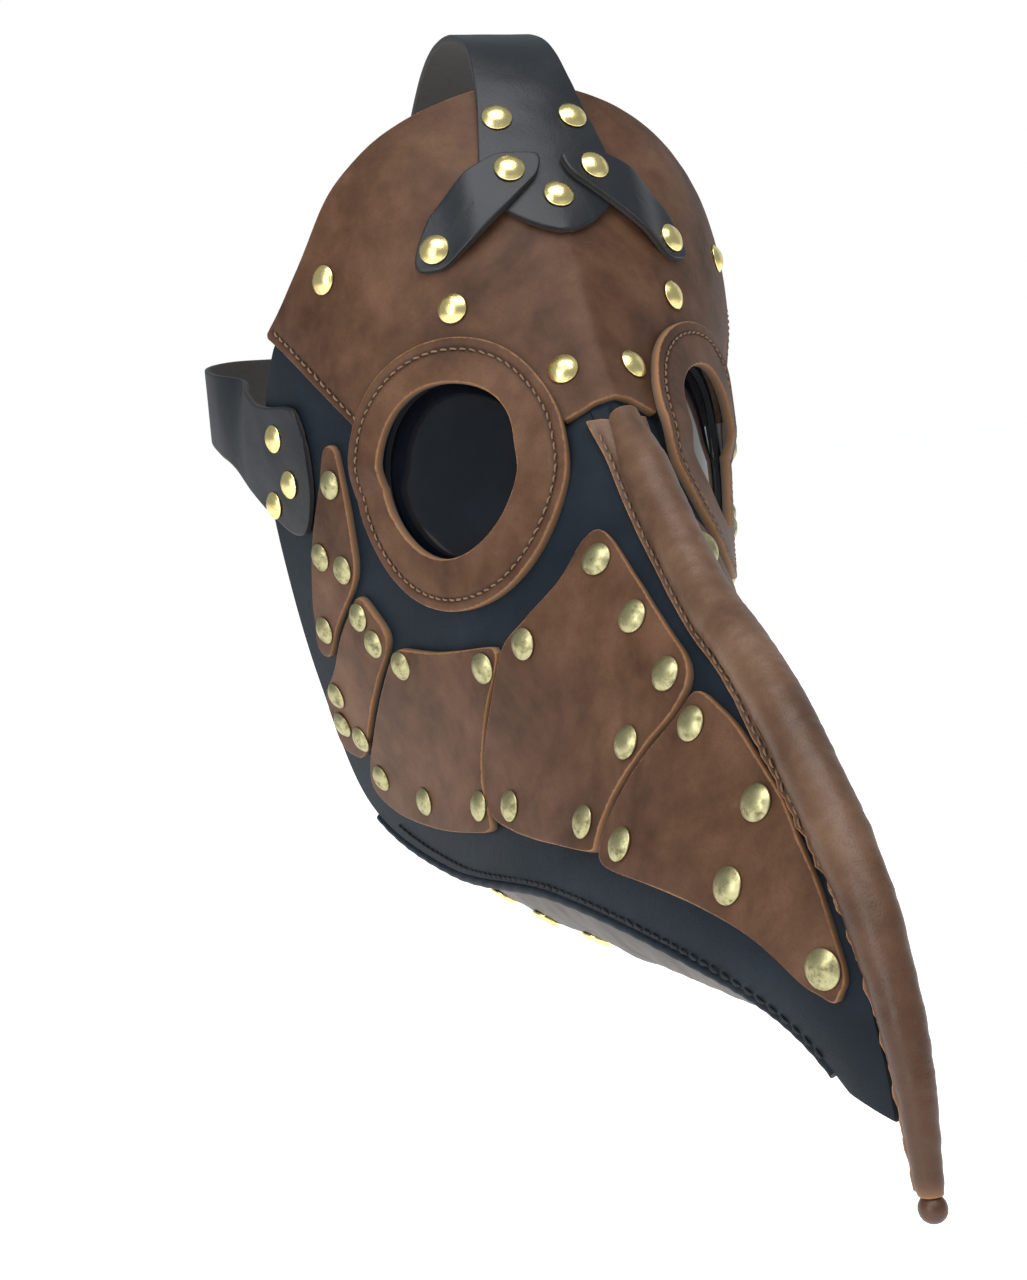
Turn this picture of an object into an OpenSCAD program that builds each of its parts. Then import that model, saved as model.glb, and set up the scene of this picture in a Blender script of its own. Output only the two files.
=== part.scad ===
// Leather plague doctor mask: a beaked face of sewn black panels, brown riveted plates,
// round eye rings with dark lenses, and a head harness closed by two prong buckles.
// Frame: origin at the nose bridge, on the lower edge of the forehead panel. The face looks along -Y,
// +Z is up, and +X is the wearer's left. Millimetres.

/* [Face] */
// Half width of the face at the temples
face_half_w = 81; // [76:1:88]
// How far the beak's tip stands in front of the nose bridge
beak_reach = 157; // [140:1:170]
// How far the beak's tip drops below the nose bridge
beak_drop = 162; // [150:1:170]

/* [Leather] */
// Thickness of the black face panels and of the gusset
panel_t = 1.8; // [1.4:0.1:2]
// Thickness of the brown forehead panel and plates
plate_t = 2.2; // [1.8:0.1:2.4]
// Thickness of the eye rings
ring_t = 2.6; // [2:0.1:3]
// Thickness of the straps
strap_t = 2; // [1.6:0.1:2]
// Air left between two layers that lie on each other
layer_gap = 0.45; // [0.4:0.05:0.5]

/* [Eyes] */
// Outer radius of an eye ring
ring_r = 39; // [37:0.5:40]
// Radius of the opening in an eye ring
opening_r = 24.5; // [22:0.5:25.5]
// Radius of a lens
lens_r = 31; // [30:0.5:32]
// Thickness of a lens
lens_t = 2; // [1.5:0.1:2.2]

/* [Beak ridge] */
// Outer radius of the rolled leather ridge
roll_r = 6.6; // [6.2:0.1:7]
// Width of the flange sewn down beside the roll
flange_w = 8; // [6:0.5:9]
// Radius of the core inside the roll
core_r = 4.2; // [3.6:0.1:4.3]

/* [Rivets] */
// Diameter of a rivet's domed cap
cap_d = 9; // [8:0.5:9.5]
// Height of a rivet's dome
cap_h = 2.2; // [1.8:0.1:2.6]
// Diameter of a rivet's shank
shank_d = 3; // [2.5:0.1:3.4]

/* [Harness] */
// Width of the rear strap and of the crown strap's tail
strap_w = 25; // [22:1:25]
// Diameter of the buckle wire
wire_d = 2.8; // [2.4:0.1:2.8]
// Distance between a buckle's two cross bars
buckle_reach = 22; // [20:1:24]
// Height of the harness at the back of the head
rear_z = 6; // [2:1:10]

/* [Hidden] */

brown = "#6b452f";
black = "#23262b";
lens_tint = "#15171c";
bright_brass = "#d0b155";
dark_brass = "#8a815a";
strap_black = "#1b1c1f";
buckle_wire = "#b99a4e";
gusset_brown = "#4a3b33";

// ---- The form: one smooth face that every piece is laid on ----

// Ribs of the form from the crown (0) to the beak's tip (11). Each rib runs straight back in side view,
// from the ridge at [y, z] to the edge at [x, y, z]; the last number is how round the rib is.
side = face_half_w / 81;
reach = beak_reach / 157;
drop = beak_drop / 162;
RIBS = [
    [  62,   98, 60 * side, 112,   72, 1.00],
    [  45,   73, 74 * side, 112,   45, 1.00],
    [  26,   44, 80 * side, 110,   18, 0.85],
    [   3,    9, 81 * side, 107,  -14, 0.55],
    [ -27 * reach,  -24 * drop, 78 * side, 104,  -48, 0.38],
    [ -58 * reach,  -50 * drop, 70 * side, 104,  -90, 0.34],
    [ -84 * reach,  -64 * drop, 57 * side, 100, -134, 0.36],
    [-102 * reach,  -76 * drop, 46 * side,  40, -141 * drop, 0.40],
    [-120 * reach,  -92 * drop, 36 * side, -30 * reach, -129 * drop, 0.40],
    [-137 * reach, -111 * drop, 22 * side, -92 * reach, -129 * drop, 0.40],
    [-150 * reach, -136 * drop, 10, -123 * reach, -138 * drop, 0.40],
    [-157 * reach, -162 * drop,  2, -148 * reach, -157 * drop, 0.40]
];
LAST_RIB = len(RIBS) - 1;

// Rib at any station between two given ribs, by a smooth cubic.
function rib(t) =
    let (
        i = min(max(floor(t), 0), LAST_RIB - 1), f = t - i,
        b = RIBS[i], c = RIBS[i + 1],
        a = i > 0 ? RIBS[i - 1] : 2 * b - c,
        d = i + 2 <= LAST_RIB ? RIBS[i + 2] : 2 * c - b
    ) 0.5 * (2 * b + (c - a) * f + (2 * a - 5 * b + 4 * c - d) * f ^ 2 + (3 * b - a - 3 * c + d) * f ^ 3);

// Point of the form at p = [s, t]: s runs from the ridge (0) to the edge (1, or -1 on the wearer's right).
function form(p) =
    let (
        q = rib(p[1]), a = abs(p[0]), k = q[5],
        across = (1 - k) * a + k * sin(90 * a),
        back = (1 - k) * a + k * (1 - cos(90 * a))
    ) [sign(p[0]) * q[2] * across, q[0] + (q[3] - q[0]) * back, q[1] + (q[4] - q[1]) * back];

function unit(v) = v / norm(v);
function slope_s(p, e = 0.01) = (form([p[0] + e, p[1]]) - form([p[0] - e, p[1]])) / (2 * e);
function slope_t(p, e = 0.01) = (form([p[0], p[1] + e]) - form([p[0], p[1] - e])) / (2 * e);
function outward(p) = unit(cross(slope_t(p), slope_s(p)));
function lay(p, h) = form(p) + h * outward(p);

// ---- Heights of the layers above the form ----
on_panel = layer_gap;
plate_top = on_panel + plate_t;
on_plate = plate_top + layer_gap;
strap_top = on_plate + strap_t;
on_strap = strap_top + layer_gap;
lens_top = -panel_t - layer_gap;
lens_under = lens_top - lens_t;
backing_top = lens_under - layer_gap;
backing_under = backing_top - panel_t;

// ---- Outlines: corner rounding, even spacing, fans ----
S_MM = 150;  // about how many millimetres one unit of s is
T_MM = 30;   // about how many millimetres one station is

function flat_len(a, b) = norm([(b[0] - a[0]) * S_MM, (b[1] - a[1]) * T_MM]);
function mix(a, b, f) = a + (b - a) * f;

// Outline with its corners rounded to about r millimetres.
function rounded(o, r, n = 3) = [
    for (i = [0:len(o) - 1])
        let (
            p = o[i], a = o[(i + len(o) - 1) % len(o)], b = o[(i + 1) % len(o)],
            pa = mix(p, a, min(0.45, r / flat_len(p, a))), pb = mix(p, b, min(0.45, r / flat_len(p, b)))
        )
        for (k = [0:n]) mix(mix(pa, p, k / n), mix(p, pb, k / n), k / n)
];
// Outline or line with no step longer than about step millimetres.
function spaced(o, step, closed = true) = [
    for (i = [0:len(o) - (closed ? 1 : 2)])
        let (a = o[i], b = o[(i + 1) % len(o)], n = max(1, ceil(flat_len(a, b) / step)))
        for (k = [0:n - 1]) mix(a, b, k / n),
    if (!closed) o[len(o) - 1]
];
// n points at even distances round a closed outline.
function evenly(o, n) =
    let (
        m = len(o),
        lens = [for (i = 0, l = 0; i <= m; l = l + flat_len(o[i % m], o[(i + 1) % m]), i = i + 1) l],
        total = lens[m]
    ) [for (k = [0:n - 1]) let (l = total * k / n, i = max([for (j = [0:m - 1]) if (lens[j] <= l) j]))
        mix(o[i], o[(i + 1) % m], (l - lens[i]) / max(lens[i + 1] - lens[i], 0.001))];
// Point at fraction f along an open line.
function along(o, f) =
    let (
        m = len(o) - 1,
        lens = [for (i = 0, l = 0; i <= m; l = l + (i < m ? flat_len(o[i], o[i + 1]) : 0), i = i + 1) l],
        l = f * lens[m], i = max([for (j = [0:m - 1]) if (lens[j] <= l + 0.0001) j])
    ) mix(o[i], o[i + 1], (l - lens[i]) / max(lens[i + 1] - lens[i], 0.001));
function turned(o) = [for (i = [len(o) - 1:-1:0]) o[i]];
// Twice the area inside an outline, positive when it runs anticlockwise.
function area(o) =
    let (m = len(o))
    [for (i = 0, s = 0; i <= m;
        s = s + o[i % m][0] * o[(i + 1) % m][1] - o[(i + 1) % m][0] * o[i % m][1], i = i + 1)
        s][m];
function clockwise(o) = area(o) > 0 ? o : turned(o);

// ---- Solids from grids of points ----
function flatten(g) = [for (row = g) for (p = row) p];
function quad(a, b, c, d) = [[a, b, c], [a, c, d]];

// Closed loops, innermost first, with a hole inside the first loop.
module ring_slab(top, under) {
    n = len(top[0]);
    m = len(top);
    u = n * m;
    faces = [
        for (i = [0:m - 2]) for (j = [0:n - 1])
            let (k = (j + 1) % n, a = i * n + j, b = a + n, c = (i + 1) * n + k, d = i * n + k)
            each concat(quad(a, b, c, d), quad(u + d, u + c, u + b, u + a)),
        for (j = [0:n - 1])
            let (k = (j + 1) % n, e = (m - 1) * n)
            each concat(quad(e + j, u + e + j, u + e + k, e + k), quad(j, k, u + k, u + j))
    ];
    polyhedron(concat(flatten(top), flatten(under)), faces, convexity = 8);
}
// Closed loops that shrink to a centre point.
module disc_slab(top, under, top_centre, under_centre) {
    n = len(top[0]);
    m = len(top);
    u = n * m;
    ct = 2 * u;
    faces = [
        for (i = [0:m - 2]) for (j = [0:n - 1])
            let (k = (j + 1) % n, a = i * n + j, b = a + n, c = (i + 1) * n + k, d = i * n + k)
            each concat(quad(a, b, c, d), quad(u + d, u + c, u + b, u + a)),
        for (j = [0:n - 1])
            let (k = (j + 1) % n, e = (m - 1) * n)
            each concat(quad(e + j, u + e + j, u + e + k, e + k), [[ct, j, k], [ct + 1, u + k, u + j]])
    ];
    polyhedron(concat(flatten(top), flatten(under), [top_centre, under_centre]), faces, convexity = 8);
}
// An open sheet of rows and columns; cuts lists the cells [row, column] that are left open.
module sheet_slab(top, under, cuts = []) {
    m = len(top);
    n = len(top[0]);
    u = n * m;
    function is_cut(i, j) = len([for (c = cuts) if (c == [i, j]) 1]) > 0;
    function open(i, j) = i < 0 || j < 0 || i >= m - 1 || j >= n - 1 || is_cut(i, j);
    faces = [
        for (i = [0:m - 2]) for (j = [0:n - 2]) if (!open(i, j))
            let (a = i * n + j, b = a + 1, c = a + n + 1, d = a + n)
            each concat(
                quad(a, b, c, d), quad(u + d, u + c, u + b, u + a),
                open(i - 1, j) ? quad(a, u + a, u + b, b) : [],
                open(i + 1, j) ? quad(c, u + c, u + d, d) : [],
                open(i, j + 1) ? quad(b, u + b, u + c, c) : [],
                open(i, j - 1) ? quad(d, u + d, u + a, a) : []
            )
    ];
    polyhedron(concat(flatten(top), flatten(under)), faces, convexity = 8);
}
// A round rod: rings of n points, closed by a point at each end.
module rod(rings, start, end) {
    n = len(rings[0]);
    m = len(rings);
    faces = [
        for (i = [0:m - 2]) for (j = [0:n - 1])
            let (k = (j + 1) % n) each quad(i * n + j, i * n + k, (i + 1) * n + k, (i + 1) * n + j),
        for (j = [0:n - 1])
            let (k = (j + 1) % n, e = (m - 1) * n) each [[n * m, k, j], [n * m + 1, e + j, e + k]]
    ];
    polyhedron(concat(flatten(rings), [start, end]), faces, convexity = 8);
}
// A piece cut to an outline [s, t] and laid on the form between two heights.
module laid_piece(outline, centre, low, high, levels = 3, step = 9) {
    o = clockwise(spaced(outline, step));
    loops = [for (k = [1:levels]) [for (p = o) mix(centre, p, k / levels)]];
    disc_slab(
        [for (l = loops) [for (p = l) lay(p, high)]], [for (l = loops) [for (p = l) lay(p, low)]],
        lay(centre, high), lay(centre, low)
    );
}
module both_sides() {
    children();
    mirror([1, 0, 0]) children();
}
module on_right() { mirror([1, 0, 0]) children(); }

// ---- Eye: circles measured in millimetres on the form ----
EYE = [0.40, 3.62];
EYE_POINT = form(EYE);
EYE_BACK = unit(slope_s(EYE));
EYE_UP = unit(cross(outward(EYE), EYE_BACK));
e_ss = slope_s(EYE) * EYE_BACK;
e_st = slope_t(EYE) * EYE_BACK;
e_ts = slope_s(EYE) * EYE_UP;
e_tt = slope_t(EYE) * EYE_UP;
e_det = e_ss * e_tt - e_st * e_ts;
function eye_seek(goal, p, n) =
    n == 0 ? p :
    let (d = form(p) - EYE_POINT, u = goal[0] - d * EYE_BACK, v = goal[1] - d * EYE_UP)
    eye_seek(goal, p + [(e_tt * u - e_st * v) / e_det, (e_ss * v - e_ts * u) / e_det], n - 1);
// Point at a radius and angle: 0 is towards the temple, 90 up, 180 towards the nose.
function eye(r, a, shift = [0, 0]) = eye_seek([r * cos(a), r * sin(a)] + shift, EYE, 5);
OPENING_SHIFT = [2.5, 1];   // the opening sits a little back and up in its ring
OPENING_CUT = 3;            // how much wider the hole in the panel is than the one in the ring
RING_STEPS = 40;
// Outer radius of a ring at an angle: trimmed beside the nose rivet, a little fuller below it.
function ring_edge(a) =
    let (b = (a + 720) % 360)
    ring_r - 3.2 * exp(-((b - 144) / 32) ^ 2) + 1.5 * exp(-((b - 232) / 30) ^ 2);
// 1 where the ring lies over the forehead panel, 0 where it lies on the face panel.
function over_forehead(a) = let (b = (a + 720) % 360, x = min(b + 4, 190 - b) / 16) min(max(x, 0), 1);
function ring_low(a) = mix(on_panel, on_plate + 0.2, over_forehead(a));

// ---- Pattern outlines [s, t] ----
STITCH_LINE = [[0.60, 3.13], [0.66, 2.81], [0.73, 2.46], [0.79, 2.20], [0.85, 2.00]];
CROWN_EDGE = [[0, 0.20], [0.16, 0.27], [0.36, 0.43], [0.48, 0.62], [0.58, 0.94], [0.66, 1.45], [0.77, 1.83],
    [0.85, 1.96]];
NOSE_EDGE = [[0, 3.29], [0.04, 3.31], [0.08, 3.36], [0.12, 3.41]];
PANEL_EDGE = concat(
    [[0.86, 2.06], [0.94, 2.45], [0.985, 2.90], [1, 3.40], [1, 4.6], [1, 5.5], [1, 5.8], [1, 6.0], [1, 6.2],
     [1, 6.5], [1, 7], [1, 7.5], [1, 8], [1, 8.5], [1, 9], [1, 9.5], [1, 10], [1, 10.5], [0.35, 10.5],
     [0.22, 10], [0.14, 9.4], [0.085, 8.8], [0.065, 8], [0.05, 7], [0.045, 6], [0.045, 5], [0.05, 4.2],
     [0.045, 3.8], [0.012, 3.55],
     [0.008, 3.15], [0.09, 3.05]],
    [for (a = [160:-20:40]) eye(35, a)],
    [[0.575, 2.85], [0.62, 2.55], [0.70, 2.22], [0.80, 1.99]]
);
TEMPLE_PLATE = [[0.69, 3.15], [0.705, 3.7], [0.73, 4.2], [0.76, 4.36], [0.86, 4.66], [0.905, 4.86],
    [0.935, 4.75], [0.905, 4.4], [0.852, 3.95], [0.778, 3.5], [0.722, 3.12]];
JAW_PLATE = [[0.745, 4.39], [0.70, 4.74], [0.708, 4.86], [0.78, 5.12], [0.915, 5.64], [0.975, 5.5],
    [0.97, 5.1], [0.90, 4.94], [0.85, 4.72]];
CHEEK_PLATE = [[0.69, 4.88], [0.645, 4.94], [0.59, 4.99], [0.52, 5.03], [0.436, 5.06], [0.726, 6.75],
    [0.76, 6.86], [0.84, 6.64], [0.91, 6.24], [0.935, 5.85], [0.905, 5.69], [0.77, 5.17]];
BEAK_PLATE = [[0.12, 4.24], [0.17, 4.32], [0.25, 4.62], [0.33, 4.82], [0.428, 5.06], [0.716, 6.75],
    [0.69, 7.28], [0.655, 7.70], [0.44, 7.05], [0.30, 6.64], [0.18, 6.28], [0.11, 5.96],
    [0.085, 5.65], [0.09, 4.95]];
TIP_PLATE = [[0.10, 6.02], [0.08, 6.72], [0.08, 7.73], [0.12, 8.54], [0.21, 9.35], [0.36, 9.55], [0.49, 9.38],
    [0.54, 8.84], [0.62, 8.39], [0.70, 7.95], [0.665, 7.78], [0.44, 7.12], [0.30, 6.71], [0.18, 6.35]];
TEMPLE_RIVETS = [[0.733, 3.47], [0.83, 4.05], [0.77, 4.19], [0.888, 4.62]];
JAW_RIVETS = [[0.765, 4.58], [0.745, 4.81], [0.895, 5.48], [0.925, 5.13], [0.94, 5.34]];
CHEEK_RIVETS = [[0.69, 5.03], [0.49, 5.21], [0.885, 5.82], [0.81, 6.2], [0.70, 6.5]];
BEAK_RIVETS = [[0.38, 5.09], [0.16, 4.52], [0.14, 5.07], [0.14, 5.78], [0.30, 6.44], [0.64, 6.65],
    [0.55, 7.2]];
TIP_RIVETS = [[0.16, 6.5], [0.15, 7.66], [0.56, 7.68], [0.42, 8.4], [0.31, 9.24]];
FOREHEAD_RIVETS = [[0.089, 3.02], [0.295, 2.385], [0.602, 1.79]];
TAB_RIVETS = [[0.90, 2.90], [0.875, 3.36], [0.955, 3.5]];
CROWN_ARM = [[0.02, 1.22], [0.12, 1.17], [0.20, 1.30], [0.30, 1.62], [0.345, 1.90], [0.355, 2.06],
    [0.29, 2.10], [0.20, 1.92], [0.115, 1.68], [0.035, 1.42]];

// ---- Rivets ----
// A domed cap at height 0, a shank going down, and a flat washer under the last layer.
module rivet(depth) {
    cap_r = cap_d / 2;
    shank_r = shank_d / 2;
    rotate_extrude($fn = 32)
        polygon(concat(
            [[0, -depth - 0.8], [cap_r - 1.2, -depth - 0.8], [cap_r - 1.2, -depth], [shank_r, -depth],
             [shank_r, 0], [cap_r - 0.5, 0], [cap_r, 0.5]],
            [for (a = [15:15:90]) [cap_r * cos(a), 0.5 + (cap_h - 0.5) * sin(a)]]
        ));
}
module stand_on(p, h) {
    n = outward(p);
    translate(lay(p, h)) rotate([0, acos(n[2]), atan2(n[1], n[0])]) children();
}
module rivets(places, h, bottom = -panel_t - layer_gap) {
    for (p = places) stand_on(p, h + 0.05) rivet(h + 0.05 - bottom);
}

// ---- Face ----
// Direction of a pattern point seen from the eye, in degrees.
function bearing(p) =
    let (d = p - EYE) atan2(e_ts * d[0] + e_tt * d[1], e_ss * d[0] + e_st * d[1]);

module face_panel() {
    columns = 64;
    levels = 12;
    edge = evenly(clockwise(PANEL_EDGE), columns);
    hole = [for (p = edge) eye(opening_r + OPENING_CUT, bearing(p), OPENING_SHIFT)];
    loops = [for (i = [0:levels]) [for (k = [0:columns - 1]) mix(hole[k], edge[k], (i / levels) ^ 1.15)]];
    color(black) ring_slab(
        [for (l = loops) [for (p = l) lay(p, 0)]], [for (l = loops) [for (p = l) lay(p, -panel_t)]]
    );
}
module face_panel_left() { face_panel(); }
module face_panel_right() { on_right() face_panel(); }

// One brown sheet from temple to temple. Its lower edge follows the stitch lines, arches over the two
// eyes under the rings and dips to the nose bridge.
module forehead_panel() {
    rows = 8;
    half = concat(
        NOSE_EDGE, [for (a = [140:-15:20]) eye(opening_r + 4.5, a, OPENING_SHIFT)],
        spaced(STITCH_LINE, 6, false)
    );
    last = len(half) - 1;
    low_edge = concat([for (i = [last:-1:1]) [-half[i][0], half[i][1]]], half);
    top_half = [for (i = [0:last]) along(CROWN_EDGE, i / last)];
    top_edge = concat([for (i = [last:-1:1]) [-top_half[i][0], top_half[i][1]]], top_half);
    grid = [for (r = [0:rows]) [for (i = [0:2 * last]) mix(top_edge[i], low_edge[i], r / rows)]];
    color(brown) sheet_slab(
        [for (g = grid) [for (p = g) lay(p, plate_top)]], [for (g = grid) [for (p = g) lay(p, on_panel)]]
    );
}

module eye_ring() {
    angles = [for (k = [0:RING_STEPS - 1]) -360 * k / RING_STEPS];
    function loop(f, lift) = [for (a = angles)
        lay(mix(eye(opening_r, a, OPENING_SHIFT), eye(ring_edge(a), a, [1, 0]), f), ring_low(a) + lift)];
    steps = [0, 0.34, 0.67, 1];
    color(brown) ring_slab([for (f = steps) loop(f, ring_t)], [for (f = steps) loop(f, 0)]);
}
module eye_ring_left() { eye_ring(); }
module eye_ring_right() { on_right() eye_ring(); }

function eye_loop(r, h) = [for (k = [0:31]) lay(eye(r, -360 * k / 32, OPENING_SHIFT), h)];
module lens() {
    centre = eye(0, 0, OPENING_SHIFT);
    color(lens_tint) disc_slab(
        [eye_loop(lens_r * 0.5, lens_top), eye_loop(lens_r, lens_top)],
        [eye_loop(lens_r * 0.5, lens_under), eye_loop(lens_r, lens_under)],
        lay(centre, lens_top), lay(centre, lens_under)
    );
}
module lens_left() { lens(); }
module lens_right() { on_right() lens(); }

// The leather ring that holds the lens from behind.
module lens_backing() {
    radii = [opening_r + 2, lens_r + 5];
    color(black)
        ring_slab([for (r = radii) eye_loop(r, backing_top)], [for (r = radii) eye_loop(r, backing_under)]);
}
module lens_backing_left() { lens_backing(); }
module lens_backing_right() { on_right() lens_backing(); }

// ---- Plates ----
module plate(outline, centre, r = 4) {
    color(brown) laid_piece(rounded(outline, r, 2), centre, on_panel, plate_top);
}
module temple_plate_left() { plate(TEMPLE_PLATE, [0.81, 4.15], 3); }
module temple_plate_right() { on_right() temple_plate_left(); }
module jaw_plate_left() { plate(JAW_PLATE, [0.86, 5.05], 3); }
module jaw_plate_right() { on_right() jaw_plate_left(); }
module cheek_plate_left() { plate(CHEEK_PLATE, [0.71, 5.75]); }
module cheek_plate_right() { on_right() cheek_plate_left(); }
module beak_plate_left() { plate(BEAK_PLATE, [0.37, 5.95]); }
module beak_plate_right() { on_right() beak_plate_left(); }
module tip_plate_left() { plate(TIP_PLATE, [0.36, 7.9]); }
module tip_plate_right() { on_right() tip_plate_left(); }

module plate_rivets_left() {
    color(dark_brass)
        rivets(concat(TEMPLE_RIVETS, JAW_RIVETS, CHEEK_RIVETS, BEAK_RIVETS, TIP_RIVETS), plate_top);
}
module plate_rivets_right() { on_right() plate_rivets_left(); }
module forehead_rivets() {
    color(bright_brass) both_sides() rivets(FOREHEAD_RIVETS, plate_top, 0);
}

// ---- Beak ----
ROLL_LIFT = 3;          // how far the roll's centre stands off the ridge line
ROLL_TURN = 135;        // how far round the roll the leather goes on each side
ROLL_START = 3.44;
ROLL_END = 10.95;
function fade(t, from, to) = min(max((t - from) / (to - from), 0), 1);
function roll_radius(t) = roll_r * mix(1, 0.45, fade(t, 8.2, 11) ^ 1.3);
function flange_width(t) = flange_w * mix(1, 0.5, fade(t, 7.2, 9.2));
function flange_s(t) = flange_width(t) / norm(slope_s([0.05, t]));
function ridge_point(t, x, n) = form([0, t]) + n * outward([0, t]) + [x, 0, 0];
function roll_section(t, r, h) =
    let (f = flange_s(t), lift = ROLL_LIFT * roll_radius(t) / roll_r) concat(
        [lay([-f, t], h), lay([-0.75 * f, t], h)],
        [for (a = [-ROLL_TURN:ROLL_TURN / 6:ROLL_TURN]) ridge_point(t, r * sin(a), lift + r * cos(a))],
        [lay([0.75 * f, t], h), lay([f, t], h)]
    );
module beak_ridge() {
    rows = 24;
    ts = [for (i = [0:rows]) mix(ROLL_START, ROLL_END, i / rows)];
    color(brown) sheet_slab(
        [for (t = ts) roll_section(t, roll_radius(t), on_panel + 1.8)],
        [for (t = ts) roll_section(t, roll_radius(t) - 1.8, on_panel)]
    );
}
// The round core inside the roll; it shows as a small ball at the beak's tip.
module ridge_core() {
    rows = 20;
    sides = 10;
    function core_radius(t) = min(core_r, roll_radius(t) - 2.1);
    function core_ring(t, r) = [for (a = [0:360 / sides:359])
        ridge_point(t, r * sin(a), ROLL_LIFT * roll_radius(t) / roll_r + r * cos(a))];
    ts = [for (i = [0:rows]) mix(ROLL_START + 0.12, ROLL_END, i / rows)];
    ball_r = 3;
    body = [for (t = ts) core_ring(t, core_radius(t))];
    tip = form([0, ROLL_END]) + ROLL_LIFT * 0.45 * outward([0, ROLL_END]);
    out = unit(form([0, 11]) - form([0, 10.7]));
    side_way = cross(out, [1, 0, 0]);
    ball = [for (b = [-60:30:60]) [for (a = [0:360 / sides:359])
        tip + (2.6 + ball_r * sin(b)) * out + ball_r * cos(b) * (sin(a) * [1, 0, 0] - cos(a) * side_way)]];
    color(brown)
        rod(concat(body, ball), ridge_point(ROLL_START + 0.06, 0, ROLL_LIFT), tip + (2.6 + ball_r) * out);
}

// Soft sheet that closes the beak from below, from the tip back to the chin.
GUSSET_FRONT = 10.42;
GUSSET_BACK = 6.8;
GUSSET_HOLLOW = 0.5;     // how many stations the chin edge is cut forward in its middle
GUSSET_DEPTH = 23;       // how far it hangs at its fullest, in the middle of the beak
function gusset_depth(t) = GUSSET_DEPTH * (1 - (1 - fade(t, 6.6, 7.8)) ^ 2) * (1 - fade(t, 8.2, 10.5));
// Point of the gusset: w runs from -1 to 1 across it, and its section is a round-cornered U.
function gusset_base(w, t) =
    let (q = rib(t), half = q[2] - panel_t - layer_gap)
    [w * half, q[3], q[4] + 1 - gusset_depth(t) * (1 - abs(w) ^ 3)];
function gusset_out(w, t) = unit(cross(
    gusset_base(w, t + 0.02) - gusset_base(w, t - 0.02), gusset_base(w - 0.02, t) - gusset_base(w + 0.02, t)));
function gusset_point(w, t, h) = gusset_base(w, t) + h * gusset_out(w, t);
VENTS = [[0.78, 7.2], [0.68, 7.5], [0.56, 7.85]];
vent_hole_r = 2.4;
module beak_gusset() {
    rows = 14;
    columns = 14;
    function at(i, j, h) = let (w = 2 * j / columns - 1)
        gusset_point(w, mix(GUSSET_FRONT, GUSSET_BACK + GUSSET_HOLLOW * (1 - w ^ 2), i / rows), h);
    color(gusset_brown) difference() {
        sheet_slab(
            [for (i = [0:rows]) [for (j = [0:columns]) at(i, j, 0)]],
            [for (i = [0:rows]) [for (j = [0:columns]) at(i, j, -panel_t)]]
        );
        at_vents() cylinder(h = 10, r = vent_hole_r + 0.9, center = true, $fn = 32);
    }
}
module at_vents() {
    both_sides() for (v = VENTS) {
        n = gusset_out(v[0], v[1]);
        translate(gusset_point(v[0], v[1], 0)) rotate([0, acos(n[2]), atan2(n[1], n[0])]) children();
    }
}
// Brass breathing eyelets, three on each side of the gusset.
module vent_eyelets() {
    under = -panel_t - 0.8;
    color(bright_brass) at_vents() rotate_extrude($fn = 32) polygon([
        [vent_hole_r, under - 0.5], [4.4, under - 0.5], [4.4, under], [vent_hole_r + 0.5, under],
        [vent_hole_r + 0.5, 0.4], [4.4, 0.4], [4.1, 0.9], [3.2, 1.2], [vent_hole_r, 0.9]
    ]);
}
// Piping along the seam between the face panel and the gusset.
module seam_binding() {
    rows = 26;
    sides = 6;
    piping_r = 1.1;
    function middle(t) = lay([1, t], -panel_t / 2) + 2 * unit(cross(outward([1, t]), slope_t([1, t])));
    function ring(t) = let (
        way = unit(middle(t + 0.02) - middle(t - 0.02)),
        across = unit(cross(way, [1, 0, 0])),
        up = cross(across, way)
    ) [for (a = [0:360 / sides:359]) middle(t) + piping_r * (cos(a) * up - sin(a) * across)];
    ts = [for (i = [0:rows]) mix(6.15, 10.3, i / rows)];
    color(black) rod([for (t = ts) ring(t)], middle(6.12), middle(10.33));
}
module seam_binding_left() { seam_binding(); }
module seam_binding_right() { on_right() seam_binding(); }

// ---- Straps ----
tail_half = strap_w / 2;
SLOT_HALF = 2.3;        // half width of the slot for a buckle's prong
SLOT = [-15, 1.5];      // where the slot starts and ends along the tail, from the pivot bar
TAIL_TIP = 27;
tail_high = 3.9 + strap_t / 2;
chape_in = wire_d / 2 + 0.35;
chape_out = chape_in + 1.8;
CHAPE_END = 38;
STRAP_END = 9;
KEEPER_AT = 17;
KEEPER_LEN = 9;

// Places of the two buckles: the middle of the pivot bar, and how far the strap there slopes.
REAR_PIVOT = [44, 204];
REAR_TURN = -20;
CROWN_PIVOT = [165, 80];
CROWN_TURN = -40;
module at_rear() { translate([REAR_PIVOT[0], REAR_PIVOT[1], rear_z]) rotate([0, 0, REAR_TURN]) children(); }
module at_crown() {
    translate([0, CROWN_PIVOT[0], CROWN_PIVOT[1]])
        rotate([CROWN_TURN, 0, 0])
            rotate(120, [1, 1, 1])
                children();
}
// Plan point at u along and v out from a pivot, on a line turned by a.
function beside(pivot, turn, u, v) = pivot + [u * cos(turn) - v * sin(turn), u * sin(turn) + v * cos(turn)];

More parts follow.
